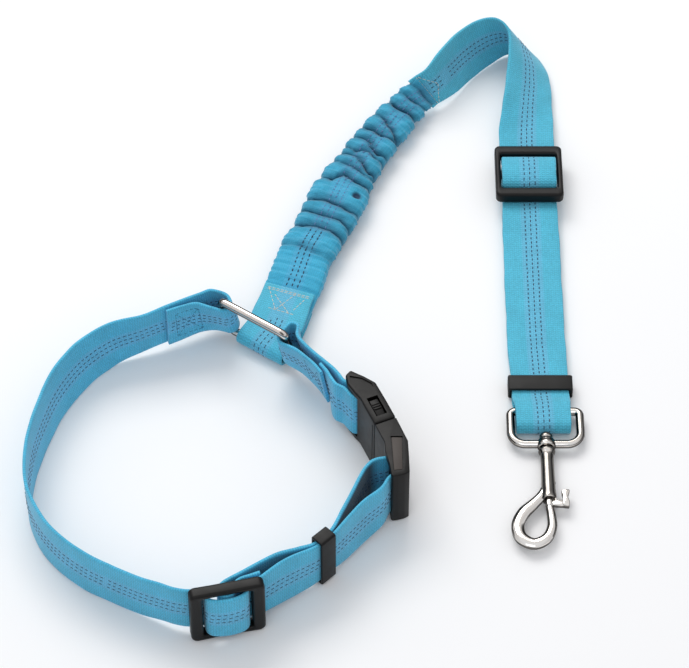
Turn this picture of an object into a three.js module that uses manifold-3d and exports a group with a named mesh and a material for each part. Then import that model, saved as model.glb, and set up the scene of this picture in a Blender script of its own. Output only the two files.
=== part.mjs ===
// Elastic headrest leash for a dog: an adjustable webbing loop with a side-release buckle, a steel
// ring, a gathered elastic section, an adjustable webbing leash and a swivel bolt snap.
// Millimetres, +Z up, lying on a table at z = 0. The loop stands on its edge towards -X and -Y, the
// elastic section runs from the ring towards +Y, and the leash comes back along the +X side to the
// snap at -Y. Webbing is swept strips; hardware is lathe, extrude and tube work joined by booleans.
import * as THREE from "three";
import { mergeVertices } from "three/addons/utils/BufferGeometryUtils.js";
import Module from "manifold-3d";

const wasm = await Module();
wasm.setup();

const vector = (x, y, z = 0) => new THREE.Vector3(x, y, z);
const UP = vector(0, 0, 1);

// ---- driving dimensions ------------------------------------------------------------------------
// Middle of the footprint, at the lowest webbing edge, in the layout's own coordinates.
const ORIGIN = vector(-15.4, 4.45, 0.19);

const WEB_T = 1.4; // webbing thickness
const WEB_W = 25; // webbing width
const FITTED_W = 24.2; // width where glides and buckle pinch the webbing
const RING_PINCH_W = 20.6; // width between the ring's bars
const BAR_R = 1.8; // ring and bail wire, and the buckle's web bars
const BAR_GAP = 0.45; // clearance between a bar and the webbing that turns round it
const TURN_R = BAR_R + BAR_GAP + WEB_T / 2; // webbing middle line round a bar
const RING_TURN_R = TURN_R + 0.2; // the ring leans, so its webbing turns wider

const RING_HALF = 16.5; // ring middle to the centre of a side bar
const RING_CORNER_R = 2.5;
const RING_LOW = vector(-34.9, -10.1, 4.0); // middle of the ring's lower bar
const RING_TOP = vector(-38.7, -15.6, 29.1); // middle of the ring's upper bar
const RING_DIR = vector(0.8246, -0.5657); // along the ring's long bars
const RING_OUT = vector(0.5657, 0.8246); // horizontal, away from the loop

const SEAM = vector(16.6, -72.0); // buckle seam, middle, in plan
const BUCKLE_DIR = vector(0.397, -0.918); // from socket to plug, in plan
const BUCKLE_OUT = vector(0.918, 0.397); // out of the loop, in plan
const BUCKLE_Z0 = 0.3; // the buckle stands on its edge
const BUCKLE_Z1 = 30.7;
const BUCKLE_MID_Z = (BUCKLE_Z0 + BUCKLE_Z1) / 2;
const BUCKLE_RAIL = 2.7; // thickness of the rails at its lower and upper edge
const PLUG_BAR = [18.0, -4.2]; // web bars, in the buckle's own plan axes
const SOCKET_BAR = [-21.0, -3.4];

const GLIDE_L = 30; // along the strap
const GLIDE_W = 29.6;
const GLIDE_T = 5;
const GLIDE_BAR = 5; // width of the end bars
const GLIDE_RAIL = 2.2; // width of the side rails
const LOOP_GLIDE = vector(-46.7, -154.5, 15.2); // middle of the loop's tri-glide
const LOOP_GLIDE_DIR = vector(0.975, 0.2222); // along the strap
const LEASH_GLIDE = vector(82.2, 86.0, 8.0);

const KEEPER_W = 27.4;
const KEEPER_L = 7.8; // along the strap
const KEEPER_WALL = 1.2;
const KEEPER_GAP = 3.9; // inside height for two layers of webbing
const LOOP_KEEPER = vector(-8.3, -128.55, 14.5);
const LOOP_KEEPER_DIR = vector(0.714, 0.7).normalize();
const LEASH_KEEPER = vector(82.9, -32.0, 3.525);

// Middle line of the bail's wire. Its web bar is at barY, its bottom bar at bottomY.
const BAIL = { x: 84.3, z: 4.0, barY: -46.0, bottomY: -63.4, half: 14.6, barCorner: 2.2, corner: 6.0 };
const HOOK_X = BAIL.x; // swivel and bolt axis, parallel to Y at height BAIL.z
const BARREL_R = 3.1;
const BARREL_Y0 = -66.4; // swivel end
const BARREL_Y1 = -92.6; // hook end
const BORE_R = 2.05;
const BORE_END_Y = BARREL_Y0 - 3.4; // blind end
const BOLT_R = 1.7;
const BOLT_Y0 = BARREL_Y1 + 9.8; // end inside the bore
const BOLT_Y1 = BARREL_Y1 - 3.4; // free end, at the hook's tip

const FABRIC = { color: 0x3f9fc8, roughness: 0.85, metalness: 0 };
const PLASTIC = { color: 0x1c1d1c, roughness: 0.5, metalness: 0 };
const CHROME = { color: 0xd9d9d6, roughness: 0.12, metalness: 1 };
const SPRING = { color: 0xa8a8a8, roughness: 0.35, metalness: 1 };
const RUBBER = { color: 0xe9e4d8, roughness: 0.8, metalness: 0 };

// ---- points and curves -------------------------------------------------------------------------
const range = (count) => [...Array(count).keys()];

function around(x, y, radius, degrees) {
  const angle = THREE.MathUtils.degToRad(degrees);
  return [x + radius * Math.cos(angle), y + radius * Math.sin(angle)];
}
const arc = (x, y, radius, from, to, steps) =>
  range(steps + 1).map((i) => around(x, y, radius, from + ((to - from) * i) / steps));

function roundedLoop(halfX, halfY, radius, steps) {
  const x = halfX - radius;
  const y = halfY - radius;
  return [
    ...arc(x, y, radius, 0, 90, steps),
    ...arc(-x, y, radius, 90, 180, steps),
    ...arc(-x, -y, radius, 180, 270, steps),
    ...arc(x, -y, radius, 270, 360, steps),
  ];
}

const smoothCurve = (points) => new THREE.CatmullRomCurve3(points, false, "centripetal");

// ---- geometry and solids -----------------------------------------------------------------------
function toSolid(geometry) {
  geometry.deleteAttribute("normal");
  geometry.deleteAttribute("uv");
  const merged = mergeVertices(geometry, 1e-4);
  return new wasm.Manifold(
    new wasm.Mesh({
      numProp: 3,
      vertProperties: new Float32Array(merged.attributes.position.array),
      triVerts: new Uint32Array(merged.index.array),
    }),
  );
}

function toGeometry(solid) {
  const mesh = solid.getMesh();
  const geometry = new THREE.BufferGeometry();
  geometry.setAttribute("position", new THREE.Float32BufferAttribute(mesh.vertProperties, 3));
  geometry.setIndex(new THREE.Uint32BufferAttribute(mesh.triVerts, 1));
  return geometry;
}

// Turns the faces so that the enclosed volume is positive.
function faceOutward(geometry) {
  const index = geometry.index.array;
  const corner = (i) => vector(0, 0).fromBufferAttribute(geometry.attributes.position, index[i]);
  let volume = 0;
  for (let i = 0; i < index.length; i += 3) {
    volume += corner(i).dot(corner(i + 1).cross(corner(i + 2)));
  }
  if (volume < 0) {
    for (let i = 0; i < index.length; i += 3) {
      [index[i + 1], index[i + 2]] = [index[i + 2], index[i + 1]];
    }
  }
  return geometry;
}

// A closed body from cross-section rings. It is capped, or its last ring is joined to the first.
function loft(rings, closed = false) {
  const sides = rings[0].length;
  const count = rings.length;
  const index = [];
  for (let i = 0; i < (closed ? count : count - 1); i++) {
    const here = i * sides;
    const next = ((i + 1) % count) * sides;
    for (let j = 0; j < sides; j++) {
      const k = (j + 1) % sides;
      index.push(here + j, next + j, here + k, here + k, next + j, next + k);
    }
  }
  if (!closed) {
    const last = (count - 1) * sides;
    for (let j = 1; j < sides - 1; j++) {
      index.push(0, j, j + 1);
      index.push(last, last + j + 1, last + j);
    }
  }
  const positions = rings.flat().flatMap((point) => [...point]);
  const geometry = new THREE.BufferGeometry();
  geometry.setAttribute("position", new THREE.Float32BufferAttribute(positions, 3));
  geometry.setIndex(index);
  return faceOutward(geometry);
}

// Webbing through stations. A station is x, y, z of the middle line, x, y, z of the direction
// across, and the width (WEB_W if left out). Smooth curves run through both selvedges.
const STEPS_PER_STATION = 2;
function strip(stations, thickness = WEB_T) {
  const selvedge = (side) =>
    smoothCurve(
      stations.map(([x, y, z, acrossX, acrossY, acrossZ, width = WEB_W]) =>
        vector(x, y, z).addScaledVector(
          vector(acrossX, acrossY, acrossZ).normalize(),
          (side * width) / 2,
        ),
      ),
    );
  const plusEdge = selvedge(1);
  const minusEdge = selvedge(-1);
  const count = (stations.length - 1) * STEPS_PER_STATION;
  const sections = range(count + 1).map((i) => {
    const plus = plusEdge.getPoint(i / count);
    const minus = minusEdge.getPoint(i / count);
    return { middle: plus.clone().add(minus).multiplyScalar(0.5), span: plus.sub(minus) };
  });
  const rings = sections.map(({ middle, span }, i) => {
    const before = sections[Math.max(0, i - 1)].middle;
    const after = sections[Math.min(count, i + 1)].middle;
    const along = after.clone().sub(before).normalize();
    const across = span.clone().normalize();
    const face = across.clone().cross(along).normalize();
    return [
      [1, 1],
      [1, -1],
      [-1, -1],
      [-1, 1],
    ].map(([edge, side]) =>
      middle
        .clone()
        .addScaledVector(across, (edge * span.length()) / 2)
        .addScaledVector(face, (side * thickness) / 2),
    );
  });
  return loft(rings);
}

// A round wire along points, with one radius or a radius for each point.
function wire(points, radii, sides, closed = false) {
  const count = points.length;
  let reference = null;
  const rings = points.map((point, i) => {
    const before = closed ? points[(i - 1 + count) % count] : points[Math.max(0, i - 1)];
    const after = closed ? points[(i + 1) % count] : points[Math.min(count - 1, i + 1)];
    const along = after.clone().sub(before).normalize();
    reference ??= Math.abs(along.z) < 0.9 ? UP : vector(1, 0);
    // Carrying the last direction forward keeps the wire from twisting.
    const normal = reference
      .clone()
      .sub(along.clone().multiplyScalar(reference.dot(along)))
      .normalize();
    reference = normal;
    const binormal = along.clone().cross(normal);
    const radius = Array.isArray(radii) ? radii[i] : radii;
    return range(sides).map((k) => {
      const angle = ((k + 0.5) / sides) * 2 * Math.PI;
      return point
        .clone()
        .addScaledVector(normal, radius * Math.cos(angle))
        .addScaledVector(binormal, radius * Math.sin(angle));
    });
  });
  return loft(rings, closed);
}

function extrude(outline, depth, hole) {
  const toPoints = (list) => list.map(([x, y]) => new THREE.Vector2(x, y));
  const shape = new THREE.Shape(toPoints(outline));
  if (hole) shape.holes.push(new THREE.Path(toPoints(hole)));
  return new THREE.ExtrudeGeometry(shape, { depth, bevelEnabled: false });
}

function rod(start, end, radius, sides) {
  const span = end.clone().sub(start);
  const geometry = new THREE.CylinderGeometry(radius, radius, span.length(), sides);
  geometry.applyQuaternion(
    new THREE.Quaternion().setFromUnitVectors(vector(0, 1), span.clone().normalize()),
  );
  geometry.translate(...start.clone().add(end).divideScalar(2));
  return toSolid(geometry);
}

function block([x0, x1], [y0, y1], [z0, z1]) {
  const geometry = new THREE.BoxGeometry(x1 - x0, y1 - y0, z1 - z0);
  geometry.translate((x0 + x1) / 2, (y0 + y1) / 2, (z0 + z1) / 2);
  return toSolid(geometry);
}

// ---- assembly ----------------------------------------------------------------------------------
const leash = new THREE.Group();
leash.position.set(-ORIGIN.x, -ORIGIN.y, -ORIGIN.z);

function add(name, geometry, look, parent = leash) {
  const mesh = new THREE.Mesh(geometry, new THREE.MeshStandardMaterial(look));
  mesh.name = name;
  parent.add(mesh);
  return mesh;
}

// Fittings on a strap have local axes x along the strap, y across it and z out of its face.
function place(mesh, position, along, across, out) {
  mesh.applyMatrix4(new THREE.Matrix4().makeBasis(along, across, out));
  mesh.position.copy(position);
}
const placeOnLoop = (mesh, position, along) =>
  place(mesh, position, along, UP, vector(along.y, -along.x));
const placeOnLeash = (mesh, position) =>
  place(mesh, position, vector(0, -1), vector(1, 0), UP);

// ---- ring --------------------------------------------------------------------------------------
const ringSpan = RING_TOP.clone().sub(RING_LOW);
const ringUp = ringSpan.clone().normalize();
const ringMiddle = RING_TOP.clone().add(RING_LOW).multiplyScalar(0.5);
const ringLine = roundedLoop(RING_HALF, ringSpan.length() / 2, RING_CORNER_R, 4).map(
  ([along, up]) =>
    ringMiddle.clone().addScaledVector(RING_DIR, along).addScaledVector(ringUp, up),
);
add("connector_ring", wire(ringLine, BAR_R, 12, true), CHROME);

// Middle of the ring's side bar on the buckle side (+1) or the far side (-1).
const sideBar = (side) => ringMiddle.clone().addScaledVector(RING_DIR, side * RING_HALF);

// ---- stations in the fittings' own axes --------------------------------------------------------
// Buckle rows: distance from the seam towards the plug, distance out of the loop.
const onBuckle = (rows, z = BUCKLE_MID_Z, width = FITTED_W) =>
  rows.map(([along, out]) => [
    SEAM.x + along * BUCKLE_DIR.x + out * BUCKLE_OUT.x,
    SEAM.y + along * BUCKLE_DIR.y + out * BUCKLE_OUT.y,
    z,
    ...UP,
    width,
  ]);
// Glide rows: distance along the strap, distance out of the glide's face.
const onLoopGlide = (rows) =>
  rows.map(([along, out]) => [
    LOOP_GLIDE.x + along * LOOP_GLIDE_DIR.x + out * LOOP_GLIDE_DIR.y,
    LOOP_GLIDE.y + along * LOOP_GLIDE_DIR.y - out * LOOP_GLIDE_DIR.x,
    LOOP_GLIDE.z,
    ...UP,
    FITTED_W,
  ]);
const FLAT = [-1, 0, 0]; // across direction of the leash where it lies flat
const onLeashGlide = (rows) =>
  rows.map(([along, out]) => [
    LEASH_GLIDE.x,
    LEASH_GLIDE.y - along,
    LEASH_GLIDE.z + out,
    ...FLAT,
    FITTED_W,
  ]);

// Strap through a glide, over the middle bar.
const THREAD = [
  [-14, -3.1], [-10.7, -3.2], [-9.15, -2.75], [-8.55, -1.5], [-8.5, 0.2],
  [-8.1, 1.9], [-6.9, 3.3], [-4.6, 4.2], [-2.2, 4.55], [0, 4.65],
  [2.2, 4.55], [4.6, 4.2], [6.9, 3.3], [8.1, 1.9], [8.5, 0.2],
  [8.55, -1.5], [9.15, -2.75], [10.7, -3.2], [14, -3.15],
];
// Sewn ends, each round a glide's middle bar.
const ROUND_BAR = [
  [-3.05, -0.3], [-3.05, 0.3], [-2.39, 1.89], [-0.8, 2.55],
  [0.8, 2.55], [2.39, 1.89], [3.05, 0.3], [3.05, -0.3],
];
const LOOP_SEWN_END = [
  [9.1, -8.0], [3.5, -5.9], [-0.6, -3.9], [-2.6, -1.9],
  ...ROUND_BAR,
  [3.3, -1.4], [4.5, -3.3], [7.0, -4.75], [10.5, -5.15], [14.8, -5.7],
];
const LEASH_SEWN_END = [
  [13, -6.75], [7.4, -6.4], [2.5, -5.1], [-1.2, -3.5], [-2.65, -1.8],
  ...ROUND_BAR,
  [3.25, -1.3], [4.4, -3.2], [6.8, -4.55], [10.5, -4.95], [16, -4.95], [21.5, -4.9],
];

// ---- loop webbing ------------------------------------------------------------------------------
const farBar = sideBar(-1);
const loopStations = [
  // sewn end, to the ring's far side bar
  [-75.3, -9.4, 15.6, 0, -0.06, 1, 24],
  [-68.5, -6.4, 16.0, -0.05, -0.1, 1, 23.6],
  [-62.0, -4.2, 16.3, -0.1, -0.15, 1, 23],
  [-56.6, -4.8, 16.5, ...ringUp, 21.6],
  // round the bar and back
  ...arc(farBar.x, farBar.y, RING_TURN_R, 235.5, 340, 4).map(([x, y]) => [
    x,
    y,
    farBar.z,
    ...ringUp,
    RING_PINCH_W,
  ]),
  [-47.1, -1.2, 16.5, ...ringUp, RING_PINCH_W],
  [-48.7, 2.0, 16.5, ...ringUp, 21],
  [-52.0, 3.6, 16.5, ...ringUp, 21.6],
  [-56.0, 3.2, 16.5, -0.11, -0.15, 1, 22.6],
  [-60.0, 1.1, 16.4, -0.08, -0.12, 1, 23],
  [-66.0, -2.3, 16.3, -0.03, -0.09, 1, 24],
  [-73.0, -6.0, 16.0, 0, -0.06, 1, 24.6],
  // the loop's long side
  [-86.5, -12.0, 14.6, 0, -0.05, 1],
  [-98.8, -16.5, 13.0, -0.047, 0.093, 0.99],
  [-110.8, -27.2, 12.6, -0.158, 0.135, 0.978],
  [-120.2, -42.8, 12.6, -0.174, 0.078, 0.98],
  [-126.2, -61.5, 12.7, -0.135, 0.033, 0.99],
  [-129.4, -78.0, 12.8, -0.087, 0, 0.996],
  [-129.6, -97.0, 12.8, -0.02, 0, 1],
  [-124.5, -112.5, 12.8, 0.02, 0.02, 1],
  [-115.5, -125.2, 12.8, 0.02, 0.02, 1],
  [-104.8, -134.4, 12.8, 0.02, 0.02, 1],
  [-94.9, -140.3, 12.9, 0.02, 0, 1],
  [-81.7, -147.1, 13.3, 0.02, 0, 1],
  [-72.5, -151.2, 14.2, 0, 0, 1, 24.8],
  [-67.3, -153.4, 14.8, 0, 0, 1, 24.6],
  ...onLoopGlide(THREAD),
  // outer layer through the keeper, to the buckle
  [-30.9, -146.3, 15.2, 0, 0.04, 1, 24.6],
  [-25.8, -142.3, 15.1, 0, 0.08, 1],
  [-18.7, -137.6, 14.9, 0, 0.06, 1],
  [-11.3, -132.6, 14.5, 0, 0, 1, 24.2],
  [-7.68, -129.17, 14.5, 0, 0, 1, 24.2],
  [-4.1, -125.7, 14.5, 0, 0, 1, 24.2],
  [1.9, -118.4, 14.5, 0, 0.07, 1],
  [9.0, -109.9, 14.5, 0, 0.08, 1],
  [15.4, -103.6, 15.0, 0, 0.04, 1, 24.6],
  // round the plug's web bar
  ...onBuckle([
    [25.2, -9.6], [23.6, -6.4], [22.2, -4.2], [20.9, -2.65],
    ...[65, 90, 120, 150, 180].map((degrees) => around(...PLUG_BAR, TURN_R, degrees)),
  ]),
  ...onBuckle(
    [[15.0, -6.5], [14.4, -9.2], [14.5, -12.3], [16.3, -15.8], [19.8, -19.8]],
    15.3,
    24.4,
  ),
  // inner layer back through the keeper, to the glide
  [3.0, -105.6, 14.8, 0, 0, 1, 24.8],
  [-0.8, -114.6, 14.6, 0, 0, 1, 24.6],
  [-5.4, -124.3, 14.5, 0, 0, 1, 24.2],
  [-8.93, -127.93, 14.5, 0, 0, 1, 24.2],
  [-12.5, -131.3, 14.5, 0, 0, 1, 24.2],
  [-18.6, -133.7, 14.8, 0, 0, 1, 24.6],
  [-25.9, -136.2, 15.0, 0, 0, 1, 24.6],
  [-33.5, -140.5, 15.1, 0, 0, 1, 24.4],
  ...onLoopGlide(LOOP_SEWN_END),
];
add("loop_webbing", strip(loopStations), FABRIC);

// ---- connector strap between the ring and the buckle's socket ----------------------------------
// Fold round the ring's side bar, close at first and loose as it leaves.
// Columns: degrees round the bar, radius, lean from the ring's slope (0) to upright (1), z, width.
const connectorFold = [
  [235.5, RING_TURN_R, 0, 16.55, RING_PINCH_W],
  [212, 3.2, 0, 16.55, RING_PINCH_W],
  [188, 3.4, 0.1, 16.7, 20.4],
  [163, 3.4, 0.35, 17.1, 19.8],
  [138, 3.4, 0.7, 17.6, 19.0],
  [112, 4.1, 1, 18.0, 18.2],
  [84, 6.2, 1, 18.0, 18.2],
  [56, 6.6, 0.8, 17.7, 18.8],
].map(([degrees, radius, lean, z, width]) => {
  const bar = sideBar(1);
  return [...around(bar.x, bar.y, radius, degrees), z, ...ringUp.clone().lerp(UP, lean), width];
});
const connectorStations = [
  [-8.2, -41.9, 15.4, -0.14, -0.11, 1, 24.0],
  [-11.0, -37.4, 15.7, -0.16, -0.13, 1, 24.0],
  [-14.4, -33.0, 15.9, -0.17, -0.16, 1, 23.4],
  [-19.2, -28.2, 16.2, -0.16, -0.2, 1, 22.0],
  ...connectorFold,
  [-18.3, -20.9, 16.7, -0.16, -0.16, 1, 21.0],
  [-14.6, -26.4, 16.1, -0.18, -0.16, 1, 22.8],
  [-10.5, -31.6, 15.8, -0.17, -0.14, 1, 23.8],
  [-6.8, -36.1, 15.6, -0.13, -0.1, 1, 24.2],
  [-4.1, -40.2, 15.5, -0.08, -0.05, 1, 24.3],
  [-2.3, -44.2, 15.4, -0.02, 0, 1, 24.3],
  // round the socket's web bar
  ...onBuckle([
    [-29.0, -5.9], [-26.0, -3.7], [-23.6, -1.7],
    ...arc(...SOCKET_BAR, TURN_R, 90, -90, 4),
    [-25.2, -7.4], [-28.6, -9.6],
  ]),
  [-5.4, -45.2, 15.2, -0.04, -0.03, 1, 24.3],
  [-6.3, -41.3, 15.4, -0.11, -0.08, 1, 24.2],
  [-8.5, -37.1, 15.6, -0.15, -0.12, 1, 24.0],
];
add("connector_strap", strip(connectorStations), FABRIC);

// ---- buckle ------------------------------------------------------------------------------------
// Built in buckle axes: x from socket to plug, y out of the loop, z up, with the seam at x = 0.
const buckleFrame = new THREE.Group();
buckleFrame.position.copy(SEAM);
buckleFrame.rotation.z = Math.atan2(BUCKLE_DIR.y, BUCKLE_DIR.x);
leash.add(buckleFrame);

function upright(outline, z0 = BUCKLE_Z0, z1 = BUCKLE_Z1) {
  const geometry = extrude(outline, z1 - z0);
  geometry.translate(0, 0, z0);
  return toSolid(geometry);
}
// The body with a rail along its lower and upper edges and the web bar between them.
const withRails = (body, railOutline, [x, y]) =>
  body
    .add(upright(railOutline, BUCKLE_Z0, BUCKLE_Z0 + BUCKLE_RAIL))
    .add(upright(railOutline, BUCKLE_Z1 - BUCKLE_RAIL, BUCKLE_Z1))
    .add(rod(vector(x, y, BUCKLE_Z0 + 0.6), vector(x, y, BUCKLE_Z1 - 0.6), BAR_R, 14));
// Takes the same block out of the lower and the upper half, between two distances from the middle.
const cutBothHalves = (body, xSpan, ySpan, near, far) =>
  body
    .subtract(block(xSpan, ySpan, [BUCKLE_MID_Z - far, BUCKLE_MID_Z - near]))
    .subtract(block(xSpan, ySpan, [BUCKLE_MID_Z + near, BUCKLE_MID_Z + far]));

// Plan outlines, x and y in buckle axes.
const SOCKET_SHELL = [[-16.6, -4.7], [-0.2, -4.7], [-0.2, 4.9], [-10, 4.9], [-16.6, 4.8]];
const SOCKET_PLATE = [
  [-17, 2.0], [-14, 2.0], [-14, 4.8], [-20.2, 4.7], [-25, 1.7],
  [-30.3, -2.3], [-29.2, -4.1], [-24.2, -0.4], [-20.4, 2.0],
];
const SOCKET_RAIL = [
  [-15, -4.7], [-18.5, -5.6], [-24, -6.4], [-28.8, -5.2],
  [-30.3, -2.3], [-25, 1.7], [-20.2, 4.7], [-15, 4.8],
];
const PLUG_BLOCK = [[0.2, -4.7], [10, -4.7], [12.2, -3.9], [12.4, 4.5], [0.2, 4.9]];
const PLUG_PLATE = [
  [11, 1.6], [11, 4.6], [13, 4.5], [19.5, 2.0], [28, -1.4], [28.4, -3.6], [28.0, -6.4],
  [27.4, -8.6], [26.6, -8.8], [26.1, -7.6], [26.2, -5.4], [25.6, -3.4], [19, -0.4], [14.5, 1.6],
];
const PLUG_RAIL = [
  [10, -4.7], [14.5, -6.4], [21, -7.0], [26.5, -6.4], [28, -3.4],
  [28, -1.4], [19.5, 2.0], [13, 4.5], [10, 4.7],
];
const TONGUE = [[1, -2.3], [1, 2.5], [-11, 2.5], [-12.5, 1.4], [-12.5, -1.2], [-11, -2.3]];
const TONGUE_HALF = 2.3; // half its height
const CAVITY_HALF = 13.1; // half the height of the socket's cavity

// Socket: hollow shell with a window at each edge, and a cover plate over the web bar.
function buckleSocket() {
  const body = upright(SOCKET_SHELL).add(upright(SOCKET_PLATE));
  const cavity = block(
    [-14.9, 5],
    [-2.9, 3.1],
    [BUCKLE_MID_Z - CAVITY_HALF, BUCKLE_MID_Z + CAVITY_HALF],
  );
  const hollow = withRails(body, SOCKET_RAIL, SOCKET_BAR).subtract(cavity);
  return toGeometry(cutBothHalves(hollow, [-13.6, -3.4], [-2.3, 2.5], 9.5, 16.5));
}
add("buckle_socket", buckleSocket(), PLASTIC, buckleFrame);

// Plug: block with seats for the latch arms, guide tongue, and a cover plate that ends in a
// crossbar in front of the strap.
function bucklePlug() {
  const body = upright(PLUG_BLOCK).add(upright(PLUG_PLATE));
  const tongue = upright(TONGUE, BUCKLE_MID_Z - TONGUE_HALF, BUCKLE_MID_Z + TONGUE_HALF);
  const whole = withRails(body, PLUG_RAIL, PLUG_BAR).add(tongue);
  return toGeometry(cutBothHalves(whole, [-1, 4.2], [-2.6, 2.8], 4.9, 12.1));
}
add("buckle_plug", bucklePlug(), PLASTIC, buckleFrame);

// Latch arms: rooted in the plug block, with a ramped catch that stands in the socket's window.
// Columns: x, height from the buckle's middle. The lower arm is the mirror of the upper one.
const LATCH_ARM = [
  [3.6, 6.0], [3.6, 9.4], [1.0, 10.2], [-3.2, 12.4], [-4.4, 12.6], [-8.6, 13.9],
  [-10.6, 13.9], [-14.2, 11.2], [-14.2, 9.4], [-10.5, 9.6], [-4.0, 8.6], [0.6, 6.0],
];
const LATCH_Y = [-1.8, 2.0];
function latchArm(lower) {
  const geometry = extrude(LATCH_ARM, LATCH_Y[1] - LATCH_Y[0]);
  geometry.rotateX(Math.PI / 2); // the outline's y becomes height, its depth runs towards -y
  geometry.translate(0, LATCH_Y[1], 0);
  if (lower) geometry.rotateX(Math.PI).translate(0, LATCH_Y[0] + LATCH_Y[1], 0);
  geometry.translate(0, 0, BUCKLE_MID_Z);
  return toGeometry(toSolid(geometry));
}
add("latch_arm_upper", latchArm(false), PLASTIC, buckleFrame);
add("latch_arm_lower", latchArm(true), PLASTIC, buckleFrame);

// ---- tri-glides --------------------------------------------------------------------------------
// The middle bar is thinner than the frame.
const GLIDE_LIFT = 0.5; // the frame stands this much further out of the face than behind it
function triGlide() {
  const frame = extrude(
    roundedLoop(GLIDE_L / 2, GLIDE_W / 2, 1.8, 3),
    GLIDE_T,
    roundedLoop(GLIDE_L / 2 - GLIDE_BAR, GLIDE_W / 2 - GLIDE_RAIL, 0.8, 2),
  );
  frame.translate(0, 0, GLIDE_LIFT - GLIDE_T / 2);
  const barLength = GLIDE_W - 1.6;
  const bar = extrude(roundedLoop(2.0, 1.5, 1.2, 2), barLength);
  bar.rotateX(Math.PI / 2);
  bar.translate(0, barLength / 2, 0);
  return toGeometry(toSolid(frame).add(toSolid(bar)));
}
placeOnLoop(add("loop_tri_glide", triGlide(), PLASTIC), LOOP_GLIDE, LOOP_GLIDE_DIR);
placeOnLeash(add("leash_tri_glide", triGlide(), PLASTIC), LEASH_GLIDE);

// ---- keepers -----------------------------------------------------------------------------------
// A flat band round two layers of webbing.
function keeper() {
  const geometry = extrude(
    roundedLoop(KEEPER_W / 2, KEEPER_GAP / 2 + KEEPER_WALL, 0.9, 2),
    KEEPER_L,
    roundedLoop(KEEPER_W / 2 - KEEPER_WALL, KEEPER_GAP / 2, 0.4, 1),
  );
  geometry.translate(0, 0, -KEEPER_L / 2);
  // (across, through, along) to (along, across, through)
  geometry.applyMatrix4(new THREE.Matrix4().makeBasis(vector(0, 1), UP, vector(1, 0)));
  return geometry;
}
placeOnLoop(add("loop_keeper", keeper(), PLASTIC), LOOP_KEEPER, LOOP_KEEPER_DIR);
placeOnLeash(add("leash_keeper", keeper(), PLASTIC), LEASH_KEEPER);

// ---- elastic section ---------------------------------------------------------------------------
// A point by its distance out from the ring's lower bar, its height, and a shift against RING_DIR.
const fromRing = (out, z, shift = 0) => [
  RING_LOW.x + out * RING_OUT.x - shift * RING_DIR.x,
  RING_LOW.y + out * RING_OUT.y - shift * RING_DIR.y,
  z,
];
// Across directions: at the ring, along the elastic section, and between the two.
const RING_ACROSS = [-RING_DIR.x, -RING_DIR.y, 0];
const BUNGEE_ACROSS = [-0.945, 0.326, 0];
const MIDWAY = [-0.89, 0.45, 0];

// End tab: webbing folded round the ring's lower bar and over the flattened end of the sleeve.
const tabStations = [
  [...fromRing(25.5, 1.35, 5.6), ...BUNGEE_ACROSS, 24],
  [...fromRing(20, 1.3, 3.8), ...BUNGEE_ACROSS, 24],
  [...fromRing(13, 1.2, 1.7), ...MIDWAY, 24],
  [...fromRing(7, 1.15, 0.3), ...RING_ACROSS, 24],
  ...arc(0, RING_LOW.z, TURN_R, -90, -270, 6).map(([out, z]) => [
    ...fromRing(out, z),
    ...RING_ACROSS,
    24,
  ]),
  [...fromRing(6, 7.1, 0.2), ...RING_ACROSS, 24],
  [...fromRing(12, 7.3, 1.4), ...MIDWAY, 24],
  [...fromRing(19, 7.35, 3.5), ...BUNGEE_ACROSS, 24.4],
  [...fromRing(25, 7.45, 5.4), ...BUNGEE_ACROSS, 24.6],
  [...fromRing(30.5, 7.8, 7.1), ...BUNGEE_ACROSS, 24.8],
];
add("bungee_end_tab", strip(tabStations), FABRIC);

// Sleeve columns: x, y, z of the axis, across direction x, y, z, half width, half height, wall.
const sleevePath = [
  [...fromRing(13.5, 4.3, 1.8), ...MIDWAY, 11.6, 1.9, 0.65],
  [...fromRing(19, 4.3, 3.5), ...BUNGEE_ACROSS, 11.8, 1.9, 0.65],
  [...fromRing(26, 4.35, 5.7), ...BUNGEE_ACROSS, 12.0, 1.9, 0.65],
  [...fromRing(31, 4.5, 7.2), ...BUNGEE_ACROSS, 12.0, 2.1, 0.7],
  [...fromRing(37, 5.2, 8.7), ...BUNGEE_ACROSS, 12.2, 4.0, 1.0],
  [-17.2, 39.0, 5.6, ...BUNGEE_ACROSS, 11.8, 4.8, 1.2],
  [-12.2, 49.5, 5.8, -0.92, 0.39, 0.02, 11.6, 4.9, 1.2],
  [-7.0, 62.0, 5.8, -0.92, 0.38, 0.04, 12.2, 4.9, 1.2],
  [-1.0, 77.5, 5.9, -0.92, 0.38, 0.06, 12.2, 4.9, 1.2],
  [5.8, 92.0, 6.0, -0.9, 0.42, 0.08, 11.4, 4.8, 1.2],
  [14.0, 107.0, 6.2, -0.87, 0.46, 0.14, 10.6, 4.7, 1.2],
  [23.4, 121.5, 6.8, -0.82, 0.48, 0.28, 9.9, 4.4, 1.2],
  [30.6, 130.9, 8.2, -0.72, 0.4, 0.52, 9.8, 3.0, 0.9],
  [35.4, 135.2, 9.6, -0.62, 0.24, 0.74, 10.4, 1.9, 0.6],
  [37.2, 136.4, 10.3, -0.58, 0.17, 0.8, 10.8, 1.9, 0.6],
];
const GATHERS = 11;
const GATHER_DEPTH = 0.5; // height of the gathers' wave, and extra room inside for it
const SLEEVE_STEPS = 52;
const SLEEVE_SIDES = 16;
const SLEEVE_POWER = 0.5; // below 1 squares the oval cross-section

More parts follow.
